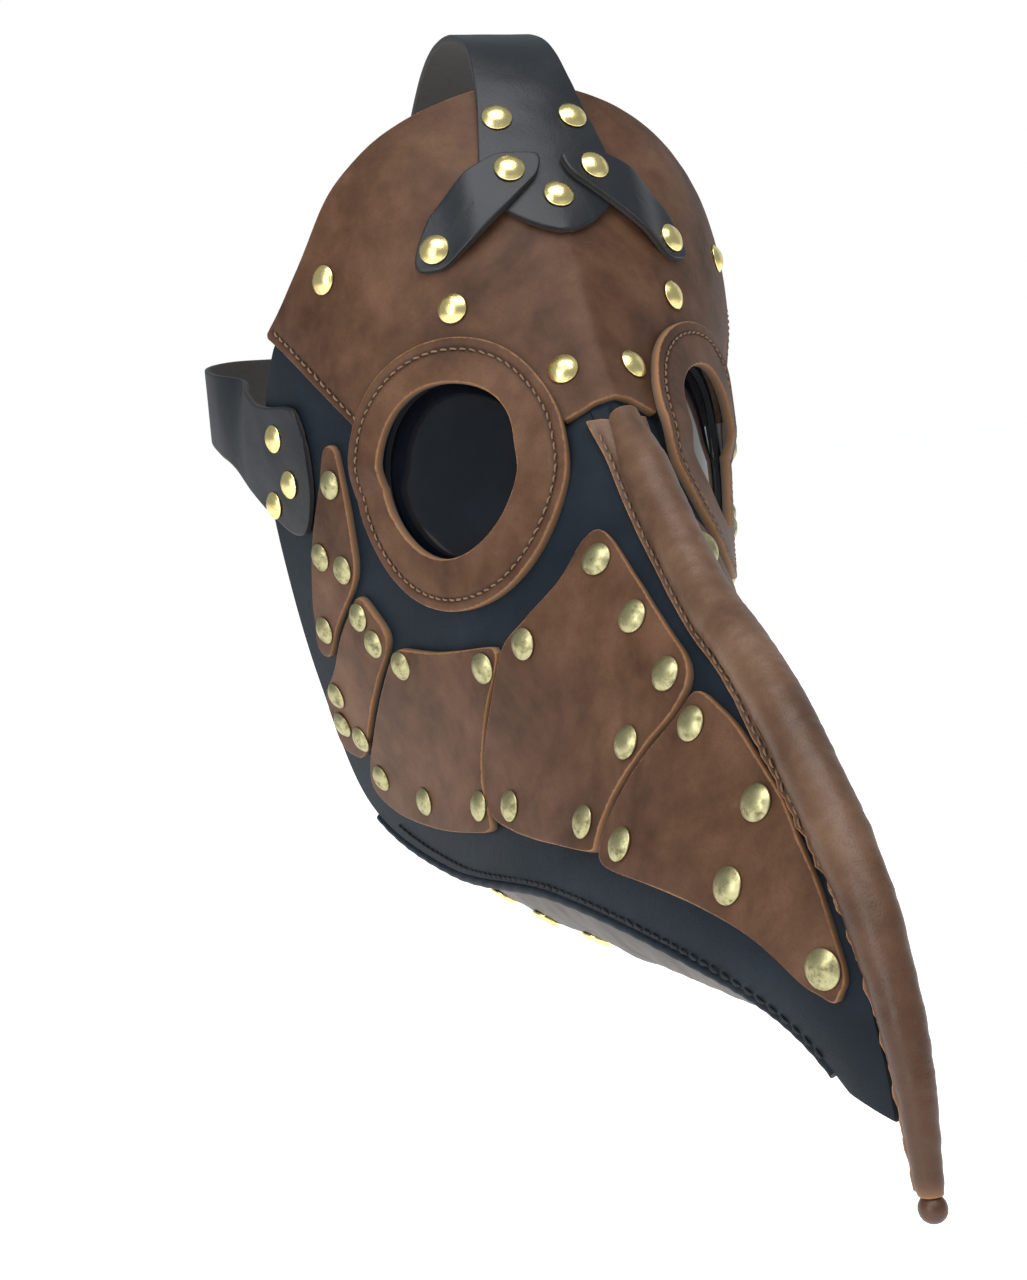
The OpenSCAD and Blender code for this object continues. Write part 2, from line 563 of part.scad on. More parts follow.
// The tail from where it dives under the far bar to its tip: [u, v, half width].
TAIL = [[-26, 0, tail_half], [-20, 0, tail_half], [SLOT[0], 1.45, tail_half], [-3, tail_high, tail_half],
    [SLOT[1], tail_high, tail_half], [12, tail_high, tail_half], [22, tail_high, tail_half - 2],
    [25.5, tail_high, tail_half - 6], [TAIL_TIP, tail_high, 2]];
tail_rows = [-1, -0.6, -SLOT_HALF / tail_half, SLOT_HALF / tail_half, 0.6, 1];

// Unit vectors at right angles to a plane path, on its outer side.
function path_normals(path, turn) = [for (i = [0:len(path) - 1])
    let (a = path[max(i - 1, 0)], b = path[min(i + 1, len(path) - 1)], d = unit([b[0] - a[0], b[1] - a[1]]))
    turn * [-d[1], d[0]]];

// Tab and strap on one side of the head: columns laid on the form, then free columns round the head.
TAB_TOP = [[0.788, 2.95], [0.795, 2.78], [0.822, 2.68], [0.90, 2.60], [0.98, 2.48], [1.07, 2.24],
    [1.15, 2.04]];
TAB_LOW = [[0.788, 3.10], [0.802, 3.42], [0.845, 3.76], [0.89, 3.83], [0.96, 3.64], [1.05, 3.32],
    [1.15, 3.00]];
function tab_column(j, h) = [for (w = tail_rows) lay(mix(TAB_TOP[j], TAB_LOW[j], (w + 1) / 2), h)];
// Free columns: path is a list of [x, y, height, half width], with x and y in plan.
function free_columns(path, h) =
    let (n = path_normals([for (p = path) [p[0], p[1]]], -1))
    [for (i = [0:len(path) - 1]) [for (w = tail_rows)
        [path[i][0] + h * n[i][0], path[i][1] + h * n[i][1], path[i][2] - w * path[i][3]]]];
module side_strap(path, cuts) {
    tab = [for (j = [0:6]) j];
    function columns(side) = concat(
        [for (j = tab) tab_column(j, on_panel + (side > 0 ? strap_t : 0))],
        free_columns(path, side * strap_t / 2)
    );
    function rows(c) = [for (i = [0:len(tail_rows) - 1]) [for (col = c) col[i]]];
    color(strap_black) sheet_slab(rows(columns(1)), rows(columns(-1)), cuts);
}
// Ways round the head: [x, y, share of the rear height, what is added to the tail's half width].
SIDE_SWEEP = [[89, 146, 0, 1.5], [89.5, 164, 0.5, 0.5]];
LEFT_SWEEP = [[89, 173, 0.67, 0], [86.5, 183.5, 1, 0]];
BACK_SWEEP = [[84.5, 181, 0.83, 0], [74, 196, 1, 0], [58, 206.5, 1, 0], [38, 213, 1, 0],
    [14, 216.4, 1, 0], [0, 216.9, 1, 0], [-12, 215.8, 1, 0]];
function sized(path) = [for (p = path) [p[0], p[1], p[2] * rear_z, tail_half + p[3]]];

// The wearer's left strap ends between the two leaves of the chape.
module rear_strap_left() {
    chape_part = [for (u = [CHAPE_END + 1, 24, STRAP_END])
        let (p = beside(REAR_PIVOT, REAR_TURN, u, 0)) [p[0], p[1], 1, 0]];
    side_strap(sized(concat(SIDE_SWEEP, LEFT_SWEEP, chape_part)), []);
}
// The wearer's right strap goes round the head; its tail passes through the buckle.
module rear_strap_right() {
    tail = [for (k = TAIL)
        let (p = beside(REAR_PIVOT, REAR_TURN, k[0], k[1])) [-p[0], p[1], 1, k[2] - tail_half]];
    before = 7 + len(SIDE_SWEEP) + len(BACK_SWEEP);
    cuts = [[2, before + 2], [2, before + 3]];
    on_right() side_strap(sized(concat(SIDE_SWEEP, BACK_SWEEP, tail)), cuts);
}
module tab_rivets_left() { color(bright_brass) rivets(TAB_RIVETS, on_panel + strap_t); }
module tab_rivets_right() { on_right() tab_rivets_left(); }

// Strap over the head: a shield-shaped tongue riveted to the forehead, a band over the crown, and a tail.
TONGUE = [[0.25, 14.5], [0.6, 16], [0.95, 18], [1.25, 19.5], [1.5, 19], [1.68, 16], [1.8, 11.5], [1.9, 6.5],
    [1.96, 1.5]];
CROWN_PATH = [[127, 108], [110, 113], [93, 113.5], [78, 110.5], [66.5, 105.2]];
function s_at(x, t) = let (q = rib(t)) x / (q[2] * (1 - q[5] + 1.5708 * q[5]));
module crown_strap() {
    tail = [for (i = [len(TAIL) - 1:-1:0]) concat(
        beside(CROWN_PIVOT, CROWN_TURN, TAIL[i][0], TAIL[i][1]), [TAIL[i][2]])];
    over = [for (i = [0:len(CROWN_PATH) - 1]) concat(CROWN_PATH[i], [tail_half + 1.5 * i / len(CROWN_PATH)])];
    path = concat(tail, over);
    normals = path_normals([for (p = path) [p[0], p[1]]], -1);
    function band(h) = [for (i = [0:len(path) - 1]) [for (w = tail_rows)
        [w * path[i][2], path[i][0] + h * normals[i][0], path[i][1] + h * normals[i][1]]]];
    function tongue(h) = [for (k = TONGUE) [for (w = tail_rows) lay([s_at(w * k[1], k[0]), k[0]], h)]];
    slot_row = len(TAIL) - 1 - 3;
    color(strap_black) sheet_slab(
        concat(band(strap_t / 2), tongue(strap_top)), concat(band(-strap_t / 2), tongue(on_plate)),
        [[slot_row, 2], [slot_row - 1, 2]]
    );
}
module crown_arm_left() {
    outline = clockwise(spaced(rounded(CROWN_ARM, 3, 2), 8));
    centre = [0.19, 1.62];
    // An arm lies on the tongue near the middle and comes down onto the forehead beyond it.
    function arm_low(p) = mix(on_strap, on_plate, fade(p[0], 0.19, 0.27));
    function at(q, h) = lay(q, arm_low(q) + h);
    function loops(h) = [for (k = [1:4]) [for (p = outline) at(mix(centre, p, k / 4), h)]];
    color(strap_black) disc_slab(loops(strap_t), loops(0), at(centre, strap_t), at(centre, 0));
}
module crown_arm_right() { on_right() crown_arm_left(); }
module crown_rivets() {
    color(bright_brass) {
        both_sides() {
            rivets([[0.10, 0.73]], strap_top, 0);
            rivets([[0.10, 1.36]], on_strap + strap_t, 0);
            rivets([[0.30, 1.92]], strap_top, 0);
        }
        rivets([[0, 1.62]], strap_top, 0);
    }
}
// Strap from the crown buckle down the back of the head, folded round the rear strap.
module crown_rear_strap() {
    fold = [for (a = [0:-30:-180]) [215.65 + 3.65 * cos(a), rear_z - 13 + 3.65 * sin(a)]];
    path = concat(
        [for (u = [STRAP_END, 24, CHAPE_END]) beside(CROWN_PIVOT, CROWN_TURN, u, 0)],
        [[203, rear_z + 39], [210.5, rear_z + 30], [216.3, rear_z + 21]], [[219.3, rear_z + 11]], fold,
        [[212, rear_z + 11], [213.2, rear_z + 19]]
    );
    normals = path_normals(path, 1);
    half = tail_half - 1;
    function band(h) = [for (i = [0:len(path) - 1]) [for (w = [-1, 0, 1])
        [-w * half, path[i][0] + h * normals[i][0], path[i][1] + h * normals[i][1]]]];
    color(strap_black) sheet_slab(band(strap_t / 2), band(-strap_t / 2));
}

// ---- Buckles, made lying along u with the strap's width along w ----
// Folded leather that holds the pivot bar, with a gap in its bend for the prong.
module chape() {
    half = tail_half - 0.5;
    bend = [for (a = [90:15:270]) a];
    gap = 3.2;
    color(strap_black) difference() {
        translate([0, 0, -half]) linear_extrude(2 * half) polygon(concat(
            [[CHAPE_END, chape_out]],
            [for (a = bend) chape_out * [cos(a), sin(a)]],
            [[CHAPE_END, -chape_out], [CHAPE_END, -chape_in]],
            [for (a = turned(bend)) chape_in * [cos(a), sin(a)]],
            [[CHAPE_END, chape_in]]
        ));
        translate([-6, -6, -gap]) cube([13, 12, 2 * gap]);
    }
}
FRAME_TILT = atan((wire_d / 2 + strap_t / 2 + 0.4) / buckle_reach);
frame_in = tail_half + 1.3;
frame_out = frame_in + wire_d;
module buckle_frame() {
    corner = 4;
    far = corner - buckle_reach - wire_d / 2;
    color(buckle_wire) rotate([0, 0, -FRAME_TILT]) {
        rotate([-90, 0, 0]) translate([0, 0, -wire_d / 2]) linear_extrude(wire_d) polygon(concat(
            [[2.2, frame_out]],
            [for (a = [90:15:180]) [far, frame_out - corner] + corner * [cos(a), sin(a)]],
            [for (a = [180:15:270]) [far, corner - frame_out] + corner * [cos(a), sin(a)]],
            [[2.2, -frame_out], [2.2, -frame_in], [wire_d / 2 - buckle_reach, -frame_in],
             [wire_d / 2 - buckle_reach, frame_in], [2.2, frame_in]]
        ));
        cylinder(h = 2 * frame_in + wire_d, r = wire_d / 2, center = true, $fn = 32);
    }
}
PRONG_R = 1.1;
module buckle_prong() {
    rise = wire_d + strap_t / 2 + 0.4 + PRONG_R + 0.15;
    slope = atan((rise - 1.9) / buckle_reach);
    color(buckle_wire) difference() {
        union() {
            cylinder(h = 4, r = wire_d / 2 + 1.5, center = true, $fn = 32);
            translate([0, 1.9, 0]) rotate([0, -90, -slope])
                cylinder(h = buckle_reach + 2, r = PRONG_R, $fn = 24);
        }
        cylinder(h = 5, r = wire_d / 2 + 0.08, center = true, $fn = 32);
    }
}
module keeper() {
    low = -chape_out - layer_gap;
    high = tail_high + strap_t / 2 + layer_gap;
    half = tail_half + 0.4;
    wall = 1.8;
    color(strap_black) translate([KEEPER_AT - KEEPER_LEN / 2, 0, 0]) rotate([90, 0, 90])
        linear_extrude(KEEPER_LEN) difference() {
            translate([low - wall, -half - wall]) square([high - low + 2 * wall, 2 * (half + wall)]);
            translate([low, -half]) square([high - low, 2 * half]);
        }
}
module rear_chape() { at_rear() chape(); }
module rear_buckle_frame() { at_rear() buckle_frame(); }
module rear_buckle_prong() { at_rear() buckle_prong(); }
module rear_keeper() { at_rear() keeper(); }
module crown_chape() { at_crown() chape(); }
module crown_buckle_frame() { at_crown() buckle_frame(); }
module crown_buckle_prong() { at_crown() buckle_prong(); }
module crown_keeper() { at_crown() keeper(); }
module harness_rivets() {
    module pair() {
        for (w = [-6, 6]) translate([CHAPE_END - 5, chape_out + 0.05, w]) rotate([-90, 0, 0])
            rivet(2 * chape_out + 0.1 + layer_gap);
    }
    color(bright_brass) {
        at_rear() pair();
        at_crown() pair();
        translate([0, 218.2, rear_z + 18.5]) rotate([-90, 0, 0]) rotate([-20, 0, 0]) rivet(6);
    }
}

face_panel_right();
face_panel_left();
forehead_panel();
beak_ridge();
ridge_core();
beak_gusset();
seam_binding_right();
seam_binding_left();
eye_ring_right();
eye_ring_left();
lens_right();
lens_left();
lens_backing_right();
lens_backing_left();
temple_plate_right();
temple_plate_left();
jaw_plate_right();
jaw_plate_left();
cheek_plate_right();
cheek_plate_left();
beak_plate_right();
beak_plate_left();
tip_plate_right();
tip_plate_left();
plate_rivets_right();
plate_rivets_left();
forehead_rivets();
crown_rivets();
tab_rivets_right();
tab_rivets_left();
vent_eyelets();
crown_strap();
crown_arm_right();
crown_arm_left();
crown_rear_strap();
crown_chape();
crown_buckle_frame();
crown_buckle_prong();
crown_keeper();
rear_strap_right();
rear_strap_left();
rear_chape();
rear_buckle_frame();
rear_buckle_prong();
rear_keeper();
harness_rivets();
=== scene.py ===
# %% [markdown]
# # A plague doctor mask, drawn over its solid model
# The mask is a face of sewn black leather with brown riveted plates, two round eye rings, a rolled ridge
# along the beak and a harness that closes with two buckles. The solid model fixes every size and every
# moving part. This script draws the leather, thread, brass and lenses at those same places.

# %% Load the solid model
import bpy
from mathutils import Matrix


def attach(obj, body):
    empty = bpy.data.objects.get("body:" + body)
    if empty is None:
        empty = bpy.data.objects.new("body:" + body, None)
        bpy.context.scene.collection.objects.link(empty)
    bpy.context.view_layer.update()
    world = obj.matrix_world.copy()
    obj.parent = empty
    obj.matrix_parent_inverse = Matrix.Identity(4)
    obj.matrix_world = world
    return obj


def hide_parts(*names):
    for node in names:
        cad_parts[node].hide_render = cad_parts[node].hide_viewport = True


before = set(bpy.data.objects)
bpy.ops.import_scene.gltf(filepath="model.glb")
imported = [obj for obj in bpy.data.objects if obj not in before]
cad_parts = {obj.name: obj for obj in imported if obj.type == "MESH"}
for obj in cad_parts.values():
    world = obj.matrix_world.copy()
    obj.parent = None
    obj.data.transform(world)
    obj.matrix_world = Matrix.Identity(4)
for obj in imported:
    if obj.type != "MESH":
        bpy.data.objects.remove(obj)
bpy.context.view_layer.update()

import math
import bpy
import numpy as np
from mathutils import Matrix, Vector

MM = 0.001
HANDS = ((1, "left"), (-1, "right"))       # pieces of a pair mirror each other across x

# %% [markdown]
# ## Camera
# The camera comes first. It stands in front of the wearer's right cheek, a little above the beak, and is
# rolled slightly. A direction pair of "right" and "back" vectors gives its turn without any trial and error.

# %% Camera
CAMERA_PLACE = (-0.15995, -0.42216, 0.01272)
CAMERA_TURN, CAMERA_RISE, CAMERA_ROLL = math.radians(-16.84), math.radians(10.0), math.radians(-4.07)
back = Vector((math.sin(CAMERA_TURN) * math.cos(CAMERA_RISE),
               -math.cos(CAMERA_TURN) * math.cos(CAMERA_RISE), math.sin(CAMERA_RISE)))
level = Vector((math.cos(CAMERA_TURN), math.sin(CAMERA_TURN), 0))
upright = back.cross(level)
right = math.cos(CAMERA_ROLL) * level + math.sin(CAMERA_ROLL) * upright
up = -math.sin(CAMERA_ROLL) * level + math.cos(CAMERA_ROLL) * upright

camera_data = bpy.data.cameras.new("camera")
camera_data.lens, camera_data.sensor_width = 45.0, 36.0
camera_data.clip_start, camera_data.clip_end = 0.01, 50
camera = bpy.data.objects.new("camera", camera_data)
camera.matrix_world = Matrix((
    (right.x, up.x, back.x, CAMERA_PLACE[0]), (right.y, up.y, back.y, CAMERA_PLACE[1]),
    (right.z, up.z, back.z, CAMERA_PLACE[2]), (0, 0, 0, 1)))
bpy.context.collection.objects.link(camera)
bpy.context.scene.camera = camera
print("camera at", CAMERA_PLACE, "lens", camera_data.lens, "mm")

# %% [markdown]
# ## The form
# Leather workers stretch hides over a carved form. Here the form is a formula: twelve ribs run back from
# the ridge, and a point [s, t] is a place across a rib (s) and along the ribs (t). The solid model uses
# the same ribs, so a piece drawn with them lands exactly on its solid. Lengths in this part are in
# millimetres; the mesh maker turns them into metres.

# %% Ribs of the form
RIBS = np.array([
    # ridge y, ridge z, edge x, edge y, edge z, roundness
    [62, 98, 60, 112, 72, 1.00],
    [45, 73, 74, 112, 45, 1.00],
    [26, 44, 80, 110, 18, 0.85],
    [3, 9, 81, 107, -14, 0.55],
    [-27, -24, 78, 104, -48, 0.38],
    [-58, -50, 70, 104, -90, 0.34],
    [-84, -64, 57, 100, -134, 0.36],
    [-102, -76, 46, 40, -141, 0.40],
    [-120, -92, 36, -30, -129, 0.40],
    [-137, -111, 22, -92, -129, 0.40],
    [-150, -136, 10, -123, -138, 0.40],
    [-157, -162, 2, -148, -157, 0.40],
])


def rib(t):
    """The rib at station t, by a smooth cubic between its neighbours."""
    t = np.asarray(t, float)
    i = np.clip(np.floor(t), 0, 10).astype(int)
    f = (t - i)[..., None]
    b, c = RIBS[i], RIBS[i + 1]
    a = np.where(i[..., None] > 0, RIBS[np.maximum(i - 1, 0)], 2 * b - c)
    d = np.where(i[..., None] < 10, RIBS[np.minimum(i + 2, 11)], 2 * c - b)
    return 0.5 * (2 * b + (c - a) * f + (2 * a - 5 * b + 4 * c - d) * f ** 2
                  + (3 * b - a - 3 * c + d) * f ** 3)


def form(s, t):
    """Point of the form; s is 0 on the ridge and 1 at the wearer's left edge."""
    s, t = np.broadcast_arrays(np.asarray(s, float), np.asarray(t, float))
    q, a = rib(t), np.abs(s)
    k, turn = q[..., 5], np.pi / 2 * a
    across = (1 - k) * a + k * np.sin(turn)
    behind = (1 - k) * a + k * (1 - np.cos(turn))
    return np.stack([np.sign(s) * q[..., 2] * across, q[..., 0] + (q[..., 3] - q[..., 0]) * behind,
                     q[..., 1] + (q[..., 4] - q[..., 1]) * behind], -1)


def unit(v):
    return v / np.maximum(np.linalg.norm(v, axis=-1, keepdims=True), 1e-9)


def slopes(s, t, e=0.01):
    return (form(s + e, t) - form(s - e, t)) / (2 * e), (form(s, t + e) - form(s, t - e)) / (2 * e)


def outward(s, t):
    s, t = np.asarray(s, float), np.asarray(t, float)
    ds, dt = slopes(s, t)
    return unit(np.cross(dt, ds))


def lay(s, t, h):
    return form(s, t) + np.asarray(h, float)[..., None] * outward(s, t)


print("beak tip of the form (mm):", form(0, 11.0))

# %% [markdown]
# ## Eyes
# An eye ring is a true circle in millimetres, but the form is curved, so the circle is found by a few
# steps of Newton's method: guess a place, measure how far off it is, correct, repeat.

# %% Circles on the form
EYE_S, EYE_T = 0.40, 3.62
eye_point = form(EYE_S, EYE_T)
eye_ds, eye_dt = slopes(np.array(EYE_S), np.array(EYE_T))
EYE_BACK = unit(eye_ds)
EYE_UP = unit(np.cross(outward(EYE_S, EYE_T), EYE_BACK))
EYE_STEP = np.linalg.inv(np.array([[eye_ds @ EYE_BACK, eye_dt @ EYE_BACK],
                                   [eye_ds @ EYE_UP, eye_dt @ EYE_UP]]))
OPENING_R = 24.9
OPENING_SHIFT = np.array([2.5, 1.0])        # the opening is not quite in the middle of its ring
RING_SHIFT = (1, 0)


def eye(radius, angle, shift=(0, 0)):
    """[s, t] of a point at a radius (mm) and angle (degrees): 0 is towards the temple, 90 is up."""
    radius, angle = np.broadcast_arrays(np.asarray(radius, float), np.radians(angle))
    goal = np.stack([radius * np.cos(angle) + shift[0], radius * np.sin(angle) + shift[1]], -1)
    st = np.broadcast_to(np.array([EYE_S, EYE_T]), goal.shape).copy()
    for _ in range(7):
        off = form(st[..., 0], st[..., 1]) - eye_point
        left = goal - np.stack([off @ EYE_BACK, off @ EYE_UP], -1)
        st += left @ EYE_STEP.T
    return st


print("eye circle error (mm):", float(np.abs(np.linalg.norm(
    form(*eye(30, 45)) - eye_point) - 30)))

# %% [markdown]
# ## From a grid of points to a piece of leather
# Every leather piece here is a slab: a grid of points on its middle, a thickness, and a rim. Real cut
# leather has a slightly rounded top edge, so the rows of the grid crowd together near a cut edge and the
# top drops away there. Three numbers are stored on each vertex for the materials: "edge" is 1 on a cut
# edge and fades inwards, "under" is 1 on the flesh side, and "seam" is 1 in a groove of stitches, where
# the colour is made darker. Storing them in the mesh means these marks follow the piece wherever it goes,
# which a picture could not do.

# %% Small tools for lines and noise
def ripple(p, size, seed, octaves=3):
    """Smooth, repeatable bumps between about -1 and 1; size is their width in millimetres."""
    rng = np.random.default_rng(seed)
    total, weight = 0, 0
    for o in range(octaves):
        for _ in range(5):
            way = unit(rng.normal(size=3)) * (2 * np.pi / (size / 2 ** o)) * rng.uniform(0.6, 1.4)
            total = total + 0.5 ** o * np.sin(p @ way + rng.uniform(0, 6.28))
        weight += 0.5 ** o * 2.2
    return total / weight


def measured(line, closed=False):
    """Distances along a line of points, in its own units."""
    line = np.asarray(line, float)
    ends = np.vstack([line, line[:1]]) if closed else line
    return np.concatenate([[0], np.cumsum(np.linalg.norm(np.diff(ends, axis=0), axis=1))])


ST_MM = np.array([150.0, 30.0])     # about how many millimetres one unit of s and of t is


def resampled(line, n, closed=False, at=None):
    """n points at even distances along a line of [s, t] points, or points at the fractions in at."""
    line = np.asarray(line, float)
    ends = np.vstack([line, line[:1]]) if closed else line
    along = measured(line * ST_MM, closed)
    goal = along[-1] * (np.linspace(0, 1, n, endpoint=not closed) if at is None else np.asarray(at))
    return np.stack([np.interp(goal, along, ends[:, k]) for k in (0, 1)], -1)


def rounded(line, radius, steps=5, closed=True):
    """The line with its corners rounded to about radius millimetres."""
    line = np.asarray(line, float)
    n, out = len(line), []
    for i in range(n):
        p = line[i]
        if not closed and i in (0, n - 1):
            out.append(p)
            continue
        a, b = line[i - 1], line[(i + 1) % n]
        la, lb = np.linalg.norm((p - a) * ST_MM), np.linalg.norm((p - b) * ST_MM)
        pa, pb = p + (a - p) * min(0.47, radius / la), p + (b - p) * min(0.47, radius / lb)
        for f in np.linspace(0, 1, steps):
            out.append((pa + (p - pa) * f) * (1 - f) + (p + (pb - p) * f) * f)
    return np.array(out)


def fringe(length, step, start=True, stop=True):
    """Fractions 0 to 1 along a length in mm: even steps, and close together at the cut ends."""
    near = np.array([0.0, 0.12, 0.3, 0.6, 1.1])
    inner = np.arange(2.0, max(length - 2.0, 2.1), step)
    f = np.concatenate([near if start else [0.0], inner, (length - near) if stop else [length]])
    return np.unique(np.clip(f, 0, length)) / length


print("fringe of a 10 mm strip:", np.round(fringe(10, 2.5), 3))

# %% The slab maker
ROUNDING = 0.55        # radius of a rounded cut edge
DENT_R = 6.2           # how far from a rivet's middle the leather is pressed down
EDGE_WEAR = 1.1        # how far from a cut edge the wear reaches


def slab(name, points, normals, low, high, cut=(True, True, True, True), wrap=False, pole=False,
         dents=(), dent_depth=0.35, side=1, extra=None, rounding=ROUNDING, both=False, seam=None):
    """A leather piece from a grid (rows x columns) of points. cut says which of the first row, last row,
    first column and last column are cut edges. wrap joins the last column to the first, and pole means
    that the first row is one point. side=-1 mirrors the piece to the wearer's right."""
    points, normals = np.array(points, float), np.array(normals, float)
    rows, cols = points.shape[:2]
    low = np.broadcast_to(np.asarray(low, float), (rows, cols)).copy()
    high = np.broadcast_to(np.asarray(high, float), (rows, cols)).copy()
    far = np.full((rows, cols), 1e3)

    def travelled(axis):
        """Distance over the grid along its rows (0) or its columns (1)."""
        steps = np.linalg.norm(np.diff(points, axis=axis), axis=2)
        start = np.zeros((1, cols) if axis == 0 else (rows, 1))
        return np.concatenate([start, np.cumsum(steps, axis)], axis)

    down = travelled(0)
    if cut[0] and not pole:
        far = np.minimum(far, down)
    if cut[1]:
        far = np.minimum(far, down[-1:] - down)
    if not wrap:
        over = travelled(1)
        if cut[2]:
            far = np.minimum(far, over)
        if cut[3]:
            far = np.minimum(far, over[:, -1:] - over)
    gap = np.clip(rounding - far, 0, rounding)
    drop = rounding - np.sqrt(np.maximum(rounding ** 2 - gap ** 2, 0))
    for centre in dents:
        reach = np.linalg.norm(points + normals * high[..., None] - centre, axis=-1)
        drop = drop + dent_depth * np.exp(-(reach / DENT_R) ** 4)
    top = points + normals * (high - drop)[..., None]
    if extra is not None:
        top = top + normals * extra[..., None]
    bottom = points + normals * (low + (drop if both else 0))[..., None]
    grid = np.concatenate([top.reshape(-1, 3), bottom.reshape(-1, 3)])
    n = rows * cols
    faces, span = [], cols if wrap else cols - 1

    def at(i, j):
        return i * cols + j % cols

    for i in range(rows - 1):
        for j in range(span):
            a, b, c, d = at(i, j), at(i + 1, j), at(i + 1, j + 1), at(i, j + 1)
            if pole and i == 0:
                faces += [(a, b, c), (n + a, n + c, n + b)]
            else:
                faces += [(a, b, c, d), (n + d, n + c, n + b, n + a)]
    for j in range(span):
        e = rows - 1
        faces.append((at(e, j), n + at(e, j), n + at(e, j + 1), at(e, j + 1)))
        if not pole:
            faces.append((at(0, j + 1), n + at(0, j + 1), n + at(0, j), at(0, j)))
    if not wrap:
        for i in range(rows - 1):
            last, next_last = at(i, cols - 1), at(i + 1, cols - 1)
            faces.append((at(i, 0), n + at(i, 0), n + at(i + 1, 0), at(i + 1, 0)))
            faces.append((next_last, n + next_last, n + last, last))
    edge = np.exp(-far / EDGE_WEAR)
    marks = {"edge": np.concatenate([edge.ravel(), np.where(far < 0.05, 1.0, 0.25).ravel()]),
             "under": np.concatenate([np.zeros(n), np.ones(n)]),
             "seam": np.concatenate([np.zeros(n) if seam is None else seam.ravel(), np.zeros(n)])}
    return mesh_piece(name, grid, faces, marks, side)


def near_line(P, line, width):
    """1 on a line of points and falling away from it, for grooves and the darker colour along them."""
    reach = np.full(P.shape[:2], 1e3)
    for point in line:
        reach = np.minimum(reach, np.linalg.norm(P - point, axis=-1))
    return np.exp(-(reach / width) ** 2)


def mesh_piece(name, points_mm, faces, marks=None, side=1, smooth_angle=40):
    """An object from points in millimetres. Sharp edges stay sharp."""
    points = np.array(points_mm, float) * MM
    if side < 0:
        points[:, 0] *= -1
        faces = [f[::-1] for f in faces]
    mesh = bpy.data.meshes.new(name)
    mesh.from_pydata(points.tolist(), [], [tuple(int(v) for v in f) for f in faces])
    for mark, values in (marks or {}).items():
        mesh.attributes.new(mark, "FLOAT", "POINT").data.foreach_set("value", np.asarray(values, float))
    mesh.validate()
    for polygon in mesh.polygons:
        polygon.use_smooth = True
    mesh.set_sharp_from_angle(angle=math.radians(smooth_angle))
    piece = bpy.data.objects.new(name, mesh)
    bpy.context.collection.objects.link(piece)
    return piece


def tube_faces(rows, sides, start=0, closed=False):
    """Faces between rows of points that each go round a tube."""
    return [(start + i * sides + j, start + i * sides + (j + 1) % sides,
             start + (i + 1) % rows * sides + (j + 1) % sides, start + (i + 1) % rows * sides + j)
            for i in range(rows if closed else rows - 1) for j in range(sides)]


def circle(centre, radius, a, b, steps):
    """Points round a circle that lies across the directions a and b."""
    return [centre + radius * (math.cos(x) * a + math.sin(x) * b) for x in np.arange(steps) * 2 * math.pi / steps]


def plain_marks(count):
    """No wear: for pieces without a cut edge."""
    return {"edge": np.zeros(count), "under": np.zeros(count)}


made = []


def finish_piece(piece, material, nodes=(), body="mask"):
    """Gives a piece its material and its body, and hides the solid that it stands for."""
    piece.data.materials.clear()
    piece.data.materials.append(material)
    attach(piece, body)
    if nodes:
        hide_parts(*nodes)
    made.append(piece.name)
    return piece


# %% [markdown]
# ## Leather
# The brown leather is an oiled hide: reddish brown, clouded darker and lighter, with a fine pebble,
# short scratches and tan cut edges where the dye has not gone in. All of it comes from noise in the
# object's own space, so there is nothing to unwrap. A picture could hold more detail, but noise has no
# seams and no size limit. The "edge" number from the mesh decides where the tan shows.

# %% A small kit for material nodes
ROUGH_SPREAD = 0.12        # how much rougher the light patches of a hide are than the dark ones


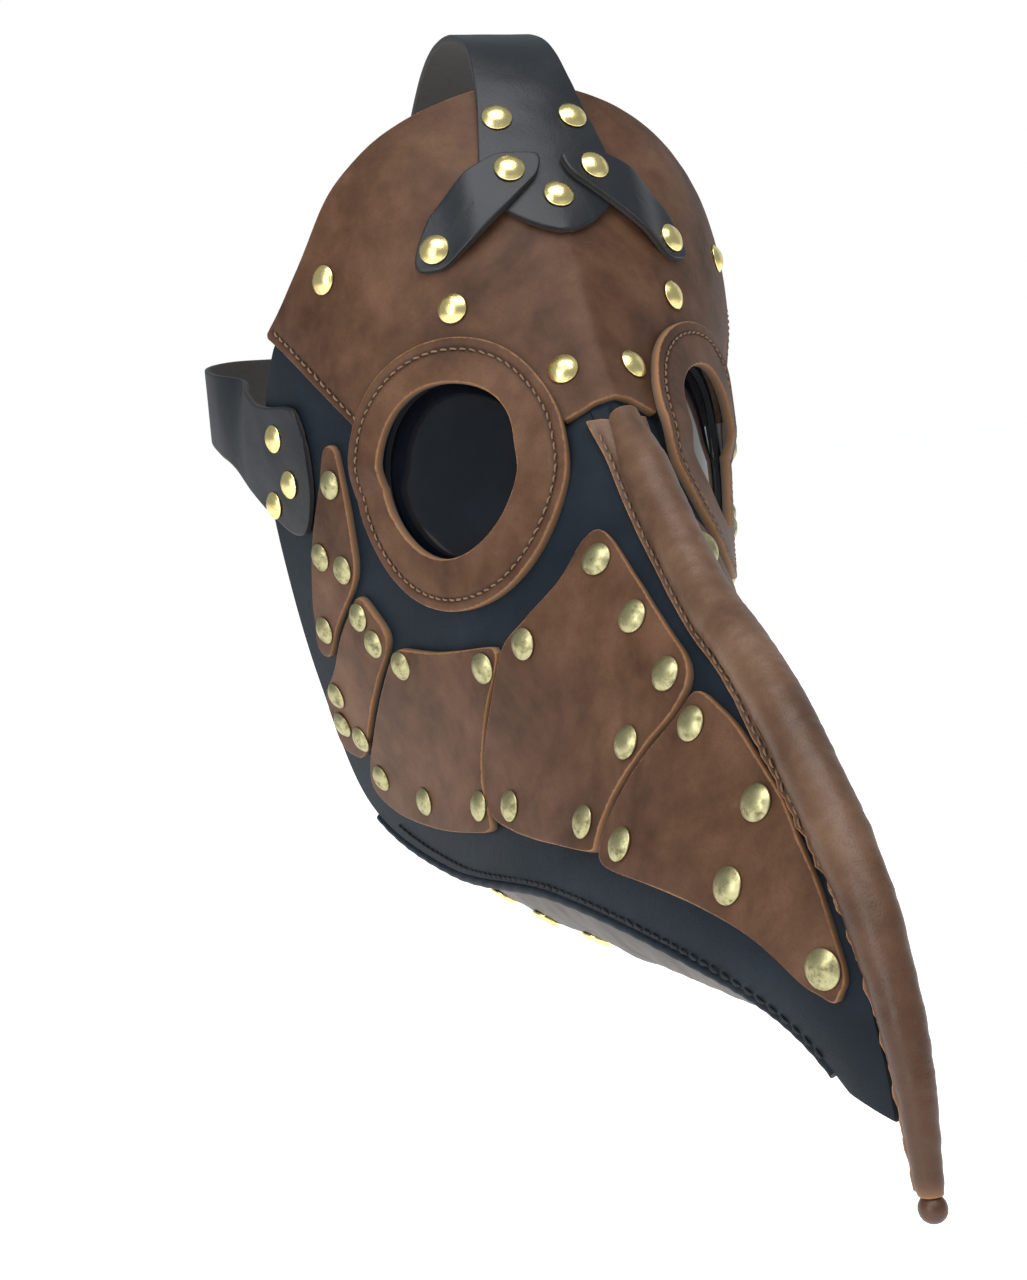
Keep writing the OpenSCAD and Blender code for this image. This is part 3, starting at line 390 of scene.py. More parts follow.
class Recipe:
    """Builds a node material with short calls."""

    def __init__(self, name):
        self.material = bpy.data.materials.new(name)
        self.material.use_nodes = True
        self.tree = self.material.node_tree
        self.shader = self.tree.nodes["Principled BSDF"]
        self.place = self.node("ShaderNodeTexCoord").outputs["Object"]

    def node(self, kind, **settings):
        n = self.tree.nodes.new(kind)
        for key, value in settings.items():
            setattr(n, key, value)
        return n

    def link(self, a, b):
        self.tree.links.new(a, b)

    def stretched(self, scale, turn=(0, 0, 0)):
        m = self.node("ShaderNodeMapping")
        m.inputs["Scale"].default_value = scale
        m.inputs["Rotation"].default_value = turn
        self.link(self.place, m.inputs["Vector"])
        return m.outputs["Vector"]

    def noise(self, scale, detail=4, rough=0.55, where=None, distort=0.0):
        n = self.node("ShaderNodeTexNoise")
        n.inputs["Scale"].default_value = scale
        n.inputs["Detail"].default_value = detail
        n.inputs["Roughness"].default_value = rough
        n.inputs["Distortion"].default_value = distort
        self.link(where or self.place, n.inputs["Vector"])
        return n.outputs["Fac"]

    def cells(self, scale):
        n = self.node("ShaderNodeTexVoronoi")
        n.inputs["Scale"].default_value = scale
        self.link(self.place, n.inputs["Vector"])
        return n.outputs["Distance"]

    def mark(self, name):
        return self.node("ShaderNodeAttribute", attribute_name=name).outputs["Fac"]

    def ramp(self, value, *stops):
        n = self.node("ShaderNodeValToRGB")
        ends = n.color_ramp.elements
        while len(ends) < len(stops):
            ends.new(0.5)
        for e, (place, colour) in zip(ends, stops):
            e.position = place
            e.color = (*colour, 1) if isinstance(colour, tuple) else (colour, colour, colour, 1)
        self.link(value, n.inputs["Fac"])
        return n.outputs["Color"]

    def mix(self, factor, a, b, blend="MIX"):
        n = self.node("ShaderNodeMix", data_type="RGBA", blend_type=blend)
        for socket, value in ((n.inputs["Factor"], factor), (n.inputs["A"], a), (n.inputs["B"], b)):
            if isinstance(value, (int, float)):
                socket.default_value = value
            elif isinstance(value, tuple):
                socket.default_value = (*value, 1)
            else:
                self.link(value, socket)
        return n.outputs["Result"]

    def maths(self, operation, a, b=0.5, clamp=False):
        n = self.node("ShaderNodeMath", operation=operation, use_clamp=clamp)
        for socket, value in zip(n.inputs, (a, b)):
            if isinstance(value, (int, float)):
                socket.default_value = value
            else:
                self.link(value, socket)
        return n.outputs["Value"]

    def bump(self, height, strength, distance, over=None):
        n = self.node("ShaderNodeBump")
        n.inputs["Strength"].default_value = strength
        n.inputs["Distance"].default_value = distance
        self.link(height, n.inputs["Height"])
        if over is not None:
            self.link(over, n.inputs["Normal"])
        return n.outputs["Normal"]

    def set(self, **values):
        for key, value in values.items():
            socket = self.shader.inputs[key.replace("_", " ")]
            if isinstance(value, (int, float)):
                socket.default_value = value
            elif isinstance(value, tuple):
                socket.default_value = (*value, 1)
            else:
                self.link(value, socket)
        return self.material


def leather(name, dark, middle, light, tan, grain=1500, gloss=0.52, pebble=0.16, under=(0.10, 0.085, 0.07),
            edge_start=0.70, wear=0.5, shine=0.25, tip=None):
    """A hide from three tones and a cut-edge colour. tip is the colour that the lowest part darkens to."""
    r = Recipe(name)
    clouds = r.noise(26, 5, 0.6, distort=0.4)
    patches = r.noise(95, 4, 0.6)
    tone = r.maths("ADD", r.maths("MULTIPLY", clouds, 0.68), r.maths("MULTIPLY", patches, 0.32))
    colour = r.ramp(tone, (0.34, dark), (0.52, middle), (0.70, light))
    streaks = r.noise(1.0, 3, 0.5, where=r.stretched((900, 60, 160), (0.3, 0.5, 0.2)))
    scratches = r.ramp(streaks, (0.66, 0.0), (0.72, 1.0))
    colour = r.mix(r.maths("MULTIPLY", scratches, 0.22 * wear), colour, light)
    pores = r.cells(grain)
    colour = r.mix(r.ramp(pores, (0.0, 0.35), (0.45, 0.0)), colour, dark)
    # Along the stitch grooves (the "seam" mark) the colour is made much darker.
    seam_dark = tuple(c * 0.28 for c in dark)
    colour = r.mix(r.maths("MULTIPLY", r.mark("seam"), 0.75, clamp=True), colour, seam_dark)
    uneven = r.maths("MULTIPLY", r.maths("SUBTRACT", r.noise(700, 3), 0.5), 0.5)
    rim = r.maths("ADD", r.mark("edge"), uneven)
    colour = r.mix(r.ramp(rim, (edge_start, 0.0), (min(edge_start + 0.26, 0.98), 1.0)), colour, tan)
    # Lower down (smaller z) the colour darkens towards tip; the cut edges stay tan there.
    if tip:
        split = r.node("ShaderNodeSeparateXYZ")
        r.link(r.place, split.inputs["Vector"])
        low = r.maths("ADD", r.maths("MULTIPLY", split.outputs["Z"], -1), r.maths("MULTIPLY", clouds, 0.02))
        colour = r.mix(r.ramp(low, (0.095, 0.0), (0.165, 0.75)), colour, r.mix(r.mark("edge"), tip, tan))
    flesh = r.mix(r.noise(400, 4), under, tuple(c * 0.6 for c in under))
    colour = r.mix(r.mark("under"), colour, flesh)
    fold = r.noise(170, 3, 0.5, distort=0.6)
    normal = r.bump(fold, 0.10, 0.0012)
    normal = r.bump(r.ramp(pores, (0.0, 0.0), (0.5, 1.0)), pebble, 0.0003, normal)
    normal = r.bump(r.noise(3200, 2), 0.10, 0.0002, normal)
    rough = r.maths("ADD", gloss - ROUGH_SPREAD / 2, r.maths("MULTIPLY", tone, ROUGH_SPREAD))
    rough = r.maths("ADD", rough, r.maths("MULTIPLY", r.mark("under"), 0.3), clamp=True)
    return r.set(Base_Color=colour, Roughness=rough, Normal=normal, Specular_IOR_Level=shine)


brown = leather(
    "brown_leather", (0.038, 0.0165, 0.0085), (0.094, 0.045, 0.0245), (0.150, 0.079, 0.045),
    tan=(0.270, 0.138, 0.066), gloss=0.52, shine=0.17, edge_start=0.60)
black = leather(
    "black_leather", (0.0045, 0.0085, 0.0135), (0.0075, 0.0130, 0.0195), (0.0125, 0.0195, 0.0275),
    tan=(0.010, 0.012, 0.015), grain=2000, gloss=0.56, pebble=0.22, under=(0.030, 0.030, 0.032), wear=0.2,
    shine=0.15)
strap_leather = leather(
    "strap_leather", (0.0050, 0.0070, 0.0100), (0.0085, 0.0110, 0.0145), (0.0140, 0.0175, 0.0220),
    tan=(0.020, 0.020, 0.021), grain=1700, gloss=0.40, pebble=0.12, under=(0.05, 0.045, 0.04), wear=0.3,
    shine=0.38)
gusset_leather = leather(
    "gusset_leather", (0.038, 0.031, 0.026), (0.062, 0.052, 0.045), (0.090, 0.078, 0.068),
    tan=(0.09, 0.07, 0.055), grain=1300, gloss=0.46, under=(0.05, 0.045, 0.04), shine=0.30)
ridge_leather = leather(
    "ridge_leather", (0.052, 0.0250, 0.0135), (0.115, 0.060, 0.0340), (0.185, 0.108, 0.066),
    tan=(0.330, 0.160, 0.070), gloss=0.42, shine=0.32, edge_start=0.60, tip=(0.052, 0.019, 0.009))
tip_leather = leather(
    "tip_leather", (0.030, 0.011, 0.006), (0.058, 0.022, 0.011), (0.095, 0.042, 0.022),
    tan=(0.20, 0.08, 0.03), gloss=0.40, shine=0.40)
print("leathers:", brown.name, black.name, strap_leather.name, gusset_leather.name, ridge_leather.name)

# %% [markdown]
# ## Brass, lens and thread
# Rivets are solid brass caps: the bright ones on the forehead are polished, and those on the plates are
# antiqued, with a dark greenish stain. Both are the metal shader with noise in colour and roughness. The
# lens is dark glossy plastic. Thread is a rough fibre with a fine twist.

# %% Metals, lens and thread
def brass(name, bright, stain, amount, gloss):
    r = Recipe(name)
    spots = r.noise(420, 5, 0.65)
    stained = r.ramp(spots, (amount, 0.0), (amount + 0.22, 1.0))
    colour = r.mix(stained, bright, stain)
    rough = r.maths("ADD", gloss, r.maths("MULTIPLY", stained, 0.25), clamp=True)
    scratches = r.noise(1.0, 2, where=r.stretched((2600, 300, 500), (0.4, 0.2, 0.9)))
    normal = r.bump(r.maths("ADD", r.maths("MULTIPLY", scratches, 0.4), r.noise(260, 3)), 0.14, 0.0004)
    return r.set(Base_Color=colour, Metallic=1.0, Roughness=rough, Normal=normal)


bright_brass = brass("bright_brass", (0.92, 0.77, 0.34), (0.55, 0.40, 0.15), 0.52, 0.27)
antique_brass = brass("antique_brass", (0.44, 0.41, 0.22), (0.19, 0.17, 0.085), 0.46, 0.40)
buckle_brass = brass("buckle_brass", (0.70, 0.54, 0.24), (0.36, 0.26, 0.11), 0.50, 0.28)

r = Recipe("dark_lens")
dust = r.ramp(r.noise(55, 6, 0.7), (0.45, 0.0), (0.85, 1.0))
r.shader.inputs["Specular IOR Level"].default_value = 0.34
r.shader.inputs["IOR"].default_value = 1.5
lens_plastic = r.set(Base_Color=r.mix(dust, (0.0030, 0.0042, 0.0070), (0.0075, 0.0095, 0.0135)),
                     Roughness=r.maths("ADD", 0.05, r.maths("MULTIPLY", dust, 0.08)),
                     Normal=r.bump(r.noise(38, 2), 0.05, 0.0006))


def thread(name, pale, deep):
    r = Recipe(name)
    twist = r.noise(1.0, 2, where=r.stretched((2500, 2500, 2500)))
    colour = r.mix(r.noise(160, 3), deep, pale)
    return r.set(Base_Color=colour, Roughness=0.85, Normal=r.bump(twist, 0.5, 0.0003))


tan_thread = thread("tan_thread", (0.27, 0.170, 0.100), (0.11, 0.060, 0.032))
black_thread = thread("black_thread", (0.020, 0.020, 0.022), (0.008, 0.008, 0.009))
print("metals, lens and thread ready")

# %% [markdown]
# ## Stitches and rivets
# A stitch is a short bent tube whose two ends dive into the leather. Hundreds of them in one mesh cost
# little and catch the light as real ones do, which a painted line would not. Rivet caps are turned on a
# lathe profile with a thin rim, and each one is set a little askew.

# %% Stitch and rivet makers
STITCH_SLANT = 7           # degrees that a stitch leans across its line


def stitches(name, line, normals, material, pitch=3.3, length=2.3, radius=0.36, seed=1, side=1,
             sink=0.12):
    """Thread along a line of 3-D points in millimetres; normals point out of the leather."""
    rng = np.random.default_rng(seed)
    along = measured(line)
    count = max(2, int(along[-1] / pitch))
    points, faces = [], []

    def at(m, values):
        return np.array([np.interp(m, along, values[:, k]) for k in range(3)])

    for m in (np.arange(count) + 0.5) * along[-1] / count:
        centre, n = at(m, line), unit(at(m, normals))
        e = pitch * 0.3
        way = unit(at(min(m + e, along[-1]), line) - at(max(m - e, 0), line))
        across = unit(np.cross(n, way))
        tilt = math.radians(STITCH_SLANT + rng.normal() * 5)
        way, across = (way * math.cos(tilt) + across * math.sin(tilt),
                       across * math.cos(tilt) - way * math.sin(tilt))
        base, long_ = len(points), length * rng.uniform(0.9, 1.08)
        for x in (-0.5, -0.36, -0.12, 0.12, 0.36, 0.5):
            rise = radius * (1.1 - 9.5 * abs(x) ** 3) - sink
            middle = centre + way * x * long_ + n * rise
            thick = radius * (1 - 1.1 * abs(x) ** 2)
            points += circle(middle, thick, across, n, 6)
        faces += tube_faces(6, 6, base)
    piece = mesh_piece(name, np.array(points), faces, side=side, smooth_angle=80)
    print(name, count, "stitches")
    return finish_piece(piece, material)


CAP_R, CAP_H = 4.5, 2.2
CAP_PROFILE = [(3.6, -0.5), (4.1, -0.1), (4.38, 0.03), (4.5, 0.2), (4.47, 0.42), (4.3, 0.58), (4.1, 0.72),
               (3.7, 1.05), (3.2, 1.4), (2.6, 1.72), (1.9, 1.98), (1.2, 2.13), (0.6, 2.19)]


def rivet_caps(name, places, material, nodes=(), seed=3, side=1):
    """Domed caps at (point, normal, depth) places in millimetres, with a washer behind the last layer."""
    rng = np.random.default_rng(seed)
    points, faces, steps = [], [], 40
    for centre, n, depth in places:
        askew = unit(n + rng.normal(size=3) * 0.022)
        across = unit(np.cross(askew, [0.3, 0.2, 0.93]))
        other = np.cross(askew, across)
        washer = [(0.5, -depth), (CAP_R - 1.1, -depth), (CAP_R - 0.9, -depth - 0.35),
                  (CAP_R - 1.3, -depth - 0.75), (0.5, -depth - 0.8)]
        for profile in (CAP_PROFILE, washer):
            base, rows = len(points), len(profile)
            for radius, h in profile:
                points += circle(centre + h * askew, radius, across, other, steps)
            faces += tube_faces(rows, steps, base)
            last = base + (rows - 1) * steps
            if profile is CAP_PROFILE:
                points.append(centre + CAP_H * askew)
                faces += [(last + a, last + (a + 1) % steps, len(points) - 1) for a in range(steps)]
            else:
                faces.append(tuple(last + a for a in range(steps)))
    piece = mesh_piece(name, np.array(points), faces, side=side, smooth_angle=50)
    print(name, len(places), "rivets")
    return finish_piece(piece, material, nodes)


# %% [markdown]
# ## Layers and patterns
# The pieces lie on each other, so each has a height above the form. The outlines are in [s, t]. They are
# the same patterns that the solid model is cut from; corners are rounded when a piece is made.

# %% Layer heights and pattern outlines
PANEL_T = 1.8                        # the black panels hang below height 0
ON_PANEL, PLATE_TOP = 0.08, 2.65     # brown pieces on the panels
ON_PLATE, STRAP_TOP = 2.72, 5.10     # the crown strap on the forehead
ON_STRAP, ARM_TOP = 5.18, 7.55       # the crown arms on the strap
STITCH_LINE = [[0.60, 3.13], [0.66, 2.81], [0.73, 2.46], [0.79, 2.20], [0.85, 2.00]]
CROWN_EDGE = [[0, 0.20], [0.16, 0.27], [0.36, 0.43], [0.48, 0.62], [0.58, 0.94], [0.66, 1.45], [0.77, 1.83],
              [0.85, 1.96]]
NOSE_EDGE = [[0, 3.29], [0.04, 3.31], [0.08, 3.36], [0.12, 3.41]]
TEMPLE_PLATE = [[0.69, 3.15], [0.705, 3.7], [0.73, 4.2], [0.76, 4.36], [0.86, 4.66], [0.905, 4.86], [0.935, 4.75],
                [0.905, 4.4], [0.852, 3.95], [0.778, 3.5], [0.722, 3.12]]
JAW_PLATE = [[0.745, 4.39], [0.70, 4.74], [0.708, 4.86], [0.78, 5.12], [0.915, 5.64], [0.975, 5.5], [0.97, 5.1],
             [0.90, 4.94], [0.85, 4.72]]
CHEEK_PLATE = [[0.69, 4.88], [0.645, 4.94], [0.59, 4.99], [0.52, 5.03], [0.436, 5.06], [0.726, 6.75], [0.76, 6.86],
               [0.84, 6.64], [0.91, 6.24], [0.935, 5.85], [0.905, 5.69], [0.77, 5.17]]
BEAK_PLATE = [[0.12, 4.24], [0.17, 4.32], [0.25, 4.62], [0.33, 4.82], [0.428, 5.06], [0.716, 6.75], [0.69, 7.28],
              [0.655, 7.70], [0.44, 7.05], [0.30, 6.64], [0.18, 6.28], [0.11, 5.96], [0.085, 5.65], [0.09, 4.95]]
TIP_PLATE = [[0.10, 6.02], [0.08, 6.72], [0.08, 7.73], [0.12, 8.54], [0.21, 9.35], [0.36, 9.55], [0.49, 9.38],
             [0.54, 8.84], [0.62, 8.39], [0.70, 7.95], [0.665, 7.78], [0.44, 7.12], [0.30, 6.71], [0.18, 6.35]]
TEMPLE_RIVETS = [[0.733, 3.47], [0.83, 4.05], [0.77, 4.19], [0.888, 4.62]]
JAW_RIVETS = [[0.765, 4.58], [0.745, 4.81], [0.895, 5.48], [0.925, 5.13], [0.94, 5.34]]
CHEEK_RIVETS = [[0.69, 5.03], [0.49, 5.21], [0.885, 5.82], [0.81, 6.2], [0.70, 6.5]]
BEAK_RIVETS = [[0.38, 5.09], [0.16, 4.52], [0.14, 5.07], [0.14, 5.78], [0.30, 6.44], [0.64, 6.65], [0.55, 7.2]]
TIP_RIVETS = [[0.16, 6.5], [0.15, 7.66], [0.56, 7.68], [0.42, 8.4], [0.31, 9.24]]
FOREHEAD_RIVETS = [[0.089, 3.02], [0.295, 2.385], [0.602, 1.79]]
TAB_RIVETS = [[0.90, 2.90], [0.875, 3.36], [0.955, 3.5]]
CROWN_ARM = [[0.02, 1.22], [0.12, 1.17], [0.20, 1.30], [0.30, 1.62], [0.345, 1.90], [0.355, 2.06], [0.29, 2.10],
             [0.20, 1.92], [0.115, 1.68], [0.035, 1.42]]


def on_form(places, height):
    """(point, normal, depth) of rivets whose caps sit at a height above the form."""
    return [(lay(s, t, height), outward(s, t), height + PANEL_T + 0.1) for s, t in places]


def clockwise(line):
    """The outline turned so that its slab faces outwards."""
    x, y = np.asarray(line)[:, 0], np.asarray(line)[:, 1]
    return np.asarray(line) if np.sum(x * np.roll(y, -1) - np.roll(x, -1) * y) > 0 else np.asarray(line)[::-1]


print("layers from", -PANEL_T, "to", ARM_TOP, "mm on the form")

# %% [markdown]
# ## Black face panels
# Two sewn halves make the face under everything else. Each is one sheet with a hole for the eye, so its
# grid is made of loops that grow from the hole to the outline. A flat grid with the hole cut out later
# would be simpler, but it would leave ragged edges round the eye.

# %% Face panels
def from_hole(outline, columns, levels, hole_radius):
    """Loops of [s, t] from a round hole out to an outline."""
    edge = resampled(clockwise(outline), columns, closed=True)
    d = (edge - [EYE_S, EYE_T]) @ np.linalg.inv(EYE_STEP).T
    hole = eye(hole_radius, np.degrees(np.arctan2(d[:, 1], d[:, 0])), OPENING_SHIFT)
    return hole[None] + (edge - hole)[None] * levels[:, None, None]


panel_edge = ([[0.86, 2.06], [0.94, 2.45], [0.985, 2.90], [1, 3.40], [1, 4.6], [1, 5.5], [1, 5.8], [1, 6.0],
               [1, 6.2], [1, 6.5], [1, 7], [1, 8], [1, 9], [1, 10], [1, 10.5], [0.35, 10.5], [0.22, 10],
               [0.14, 9.4], [0.085, 8.8], [0.065, 8], [0.05, 7], [0.045, 6], [0.045, 5], [0.05, 4.2],
               [0.045, 3.8], [0.012, 3.55], [0.008, 3.15], [0.09, 3.05]]
              + [list(eye(35, a)) for a in range(160, 39, -20)]
              + [[0.575, 2.85], [0.62, 2.55], [0.70, 2.22], [0.80, 1.99]])
PANEL_HOLE_R = 26.3
panel_levels = np.concatenate([[0, 0.004, 0.01], np.linspace(0.03, 0.97, 44) ** 1.1, [0.985, 0.994, 0.998, 1]])
for side, hand in HANDS:
    st = from_hole(rounded(panel_edge, 3, 3), 420, panel_levels, PANEL_HOLE_R)
    P, N = form(st[..., 0], st[..., 1]), outward(st[..., 0], st[..., 1])
    sag = 0.30 * ripple(P * [side, 1, 1], 46, 11 + side) * np.clip(st[..., 1] - 5.0, 0, 1)
    panel = slab(f"face_panel_{hand}", P, N, -PANEL_T, 0.0, wrap=True, side=side, extra=np.minimum(sag, 0))
    finish_piece(panel, black, [f"face_panel_{hand}"])
print("face panels done")

# %% [markdown]
# ## Brown plates
# Five plates a side, each cut from thick hide with rounded corners and riveted down. A plate is a fan of
# loops from its centre. The leather dips under every rivet, and its surface is never quite flat.

# %% Plates and their rivets
def from_centre(outline, centre, step=1.6):
    """Loops of [s, t] from a centre point to an outline, close together at the cut edge."""
    total = measured(outline * ST_MM, closed=True)[-1]
    edge = resampled(outline, int(total / step), closed=True)
    reach = np.linalg.norm((edge - centre) * ST_MM, axis=1).mean()
    f = fringe(reach, 1.8, start=False)
    return np.asarray(centre)[None, None] + (edge - centre)[None] * f[:, None, None]


def plate(name, outline, centre, rivets, corner, side, seed):
    """A brown plate with waves of about a sixth of a millimetre and a dip under each rivet."""
    cutline = rounded(clockwise(outline), corner)
    cutline = resampled(cutline, 260, closed=True)
    wobble = ripple(form(cutline[:, 0], cutline[:, 1]) * [side, 1, 1], 30, seed + side)
    cutline = cutline + (cutline - centre) * (0.006 * wobble)[:, None]
    st = from_centre(cutline, np.array(centre))
    P, N = form(st[..., 0], st[..., 1]), outward(st[..., 0], st[..., 1])
    waves = 0.28 * ripple(P * [side, 1, 1], 38, seed * 7 + side)
    caps = [lay(s, t, PLATE_TOP) for s, t in rivets]
    piece = slab(name, P, N, ON_PANEL, PLATE_TOP, cut=(False, True, False, False), wrap=True, pole=True,
                 dents=caps, side=side, extra=waves * 0.6)
    return finish_piece(piece, brown, [name])


PLATES = [    # name, outline, a point well inside, rivets, corner radius
    ("temple", TEMPLE_PLATE, [0.81, 4.15], TEMPLE_RIVETS, 3.2), ("jaw", JAW_PLATE, [0.86, 5.05], JAW_RIVETS, 3.2),
    ("cheek", CHEEK_PLATE, [0.71, 5.75], CHEEK_RIVETS, 4.5), ("beak", BEAK_PLATE, [0.37, 5.95], BEAK_RIVETS, 5.0),
    ("tip", TIP_PLATE, [0.36, 7.9], TIP_RIVETS, 5.0)]
for side, hand in HANDS:
    for number, (word, outline, centre, rivets, corner) in enumerate(PLATES):
        plate(f"{word}_plate_{hand}", outline, centre, rivets, corner, side, seed=5 + number)
    places = on_form(sum((p[3] for p in PLATES), []), PLATE_TOP - 0.2)
    rivet_caps(f"plate_rivets_{hand}", places, antique_brass, [f"plate_rivets_{hand}"],
               seed=20 + side, side=side)

# %% [markdown]
# ## Forehead panel
# One brown sheet from temple to temple. Its grid runs from the crown edge down to the lower edge, which
# follows the stitched sides, arches over the eyes under the rings, and ends in a notch at the nose.

# %% Forehead
half = np.array(NOSE_EDGE + [list(eye(29, a, OPENING_SHIFT)) for a in range(140, 19, -15)]
                + [list(p) for p in resampled(STITCH_LINE, 6)])
half_low = resampled(half, 150)
half_top = resampled(rounded(CROWN_EDGE, 14, closed=False), 150)
low_edge = np.concatenate([(half_low * [-1, 1])[:0:-1], half_low])
top_edge = np.concatenate([(half_top * [-1, 1])[:0:-1], half_top])
down = fringe(95, 1.6)
st = top_edge[None] + (low_edge - top_edge)[None] * down[:, None, None]
P, N = form(st[..., 0], st[..., 1]), outward(st[..., 0], st[..., 1])
crease = -0.6 * np.exp(-(P[..., 0] / 8) ** 2) * np.clip((st[..., 1] - 2.2) / 1.0, 0, 1)
TEMPLE_SEAM = resampled([[0.598, 3.03], [0.642, 2.79], [0.688, 2.54], [0.752, 2.23], [0.812, 1.99]], 130)
seam_3d = lay(TEMPLE_SEAM[:, 0], TEMPLE_SEAM[:, 1], np.full(130, PLATE_TOP))
seam_groove = np.maximum(near_line(P, form(TEMPLE_SEAM[:, 0], TEMPLE_SEAM[:, 1]), 1.0),
                         near_line(P, form(-TEMPLE_SEAM[:, 0], TEMPLE_SEAM[:, 1]), 1.0))
mirrored_rivets = [[s * k, t] for s, t in FOREHEAD_RIVETS for k in (1, -1)]
forehead_caps = [lay(s, t, PLATE_TOP) for s, t in mirrored_rivets]
forehead = slab("forehead_panel", P, N, ON_PANEL, PLATE_TOP, dents=forehead_caps,
                extra=0.22 * ripple(P, 42, 4) + 0.5 * crease - 0.3 * seam_groove, seam=seam_groove)
finish_piece(forehead, brown, ["forehead_panel"])
places = [(lay(s, t, PLATE_TOP - 0.25), outward(s, t), PLATE_TOP + PANEL_T) for s, t in mirrored_rivets]
rivet_caps("forehead_rivets", places, bright_brass, ["forehead_rivets"], seed=31)

for side, hand in HANDS:
    stitches(f"temple_stitches_{hand}", seam_3d - 0.2 * outward(*TEMPLE_SEAM.T), outward(*TEMPLE_SEAM.T),
             tan_thread, seed=50 + side, side=side)

# %% [markdown]
# ## Eye rings and lenses
# Each ring is sewn down with a line of tan thread near its outer edge and left free at the opening,
# which was cut by hand, so it is a little irregular. Over the forehead panel the ring climbs by one
# thickness of leather. The lens behind it is a smooth dark dome.

# %% Rings
def smooth(x):
    x = np.clip(x, 0, 1)
    return x * x * (3 - 2 * x)


def ring_low(angle):
    b = (np.asarray(angle) + 720) % 360
    return 0.1 + 2.75 * smooth(np.minimum(b + 6, 192 - b) / 22)


def ring_edge(angle):
    """Radius of a ring's outer edge: a little flatter towards the nose, a little fuller below it."""
    b = (np.asarray(angle) + 720) % 360
    return 39 - 3.2 * np.exp(-((b - 144) / 32) ** 2) + 1.5 * np.exp(-((b - 232) / 30) ** 2)


RING_T, RING_WIDTH = 2.75, 14.5
SEAM_IN = 3.4               # how far the stitches are from the ring's outer edge
ring_angles = -np.arange(240) * 360 / 240
for side, hand in HANDS:
    cutting = (0.20 * np.sin(np.radians(2 * ring_angles + 40 * side))
               + 0.14 * np.sin(np.radians(5 * ring_angles + 100)))
    inner = eye(OPENING_R + cutting, ring_angles, OPENING_SHIFT)
    outer = eye(ring_edge(ring_angles) + 0.12 * np.sin(np.radians(4 * ring_angles)), ring_angles, RING_SHIFT)
    width = np.linalg.norm(form(*outer.T) - form(*inner.T), axis=-1)
    f = fringe(RING_WIDTH, 0.55)
    st = inner[None] + (outer - inner)[None] * f[:, None, None]
    P, N = form(st[..., 0], st[..., 1]), outward(st[..., 0], st[..., 1])
    low = np.broadcast_to(ring_low(ring_angles)[None], P.shape[:2])
    from_edge = (1 - f)[:, None] * width[None]
    seam_mark = np.exp(-((from_edge - SEAM_IN) / 0.8) ** 2)
    groove = -0.38 * seam_mark + 0.10 * np.exp(-((from_edge - 1.6) / 1.0) ** 2)
    curl = 0.6 + 0.4 * np.sin(np.radians(2 * ring_angles + 60))
    lip = 0.35 * np.exp(-(f[:, None] * RING_WIDTH / 3.0)) * curl[None]
    ring = slab(f"eye_ring_{hand}", P, N, low, low + RING_T, wrap=True, side=side, rounding=0.7, seam=seam_mark,
                extra=groove + lip + 0.14 * ripple(P * [side, 1, 1], 24, 60 + side))
    finish_piece(ring, brown, [f"eye_ring_{hand}"])
    a = np.linspace(0, -360, 200)
    seam_out, seam_in = eye(ring_edge(a), a, RING_SHIFT), eye(OPENING_R, a, OPENING_SHIFT)
    width = np.linalg.norm(form(*seam_out.T) - form(*seam_in.T), axis=-1)
    seam = seam_out + (seam_in - seam_out) * (SEAM_IN / width)[:, None]
    stitches(f"ring_stitches_{hand}", lay(seam[:, 0], seam[:, 1], ring_low(a) + RING_T - 0.36),
             outward(seam[:, 0], seam[:, 1]), tan_thread, seed=70 + side, side=side,
             pitch=3.0, length=2.15, radius=0.33, sink=0.0)

# %% Lenses and the leather rings behind them
lens_f = np.concatenate([[0], np.linspace(0.03, 1, 30)])
for side, hand in HANDS:
    a = -np.arange(120) * 3.0
    rim = eye(31, a, OPENING_SHIFT)
    centre = eye(0, 0, OPENING_SHIFT)
    st = centre[None, None] + (rim - centre)[None] * lens_f[:, None, None]
    P, N = form(st[..., 0], st[..., 1]), outward(st[..., 0], st[..., 1])
    dome = 1.3 * (1 - lens_f[:, None] ** 2) + 0 * a[None]
    lens = slab(f"lens_{hand}", P, N, -4.2, -2.3, cut=(False, True, False, False), wrap=True, pole=True,
                side=side, extra=dome)
    finish_piece(lens, lens_plastic, [f"lens_{hand}"])
    f = fringe(10, 2.0)
    inner, outer = eye(26.5, a, OPENING_SHIFT), eye(36, a, OPENING_SHIFT)
    st = inner[None] + (outer - inner)[None] * f[:, None, None]
    P, N = form(st[..., 0], st[..., 1]), outward(st[..., 0], st[..., 1])
    backing = slab(f"lens_backing_{hand}", P, N, -6.3, -4.3, wrap=True, side=side)
    finish_piece(backing, black, [f"lens_backing_{hand}"])
print("rings and lenses done")

# %% [markdown]
# ## Rolled ridge
# A long strip of leather is wrapped round a cord and its two flanges are sewn down along the beak. The
# grid follows the same section all the way: flange, nearly a full turn of roll, flange. Small creases
# cross the roll where it bends, and the flanges are cut by eye, so they waver.

# %% Ridge
def fade(t, start, stop):
    return np.clip((np.asarray(t, float) - start) / (stop - start), 0, 1)


ROLL_R, FLANGE_W, ROLL_LIFT, ROLL_TURN = 6.6, 8.0, 3.0, 135.0
ROLL_START, ROLL_END = 3.44, 10.95
ROLL_HALF_T = 0.95          # half the thickness of the rolled leather
RIDGE_SEAM = 0.80           # where the stitches run, as a share of the flange's width


def roll_radius(t):
    taper = (1 - 0.55 * fade(t, 8.2, 11) ** 1.3) * (1 - 0.10 * fade(t, 9.6, 10.95))
    return ROLL_R * taper * (0.62 + 0.38 * smooth(fade(t, 3.40, 3.95)))


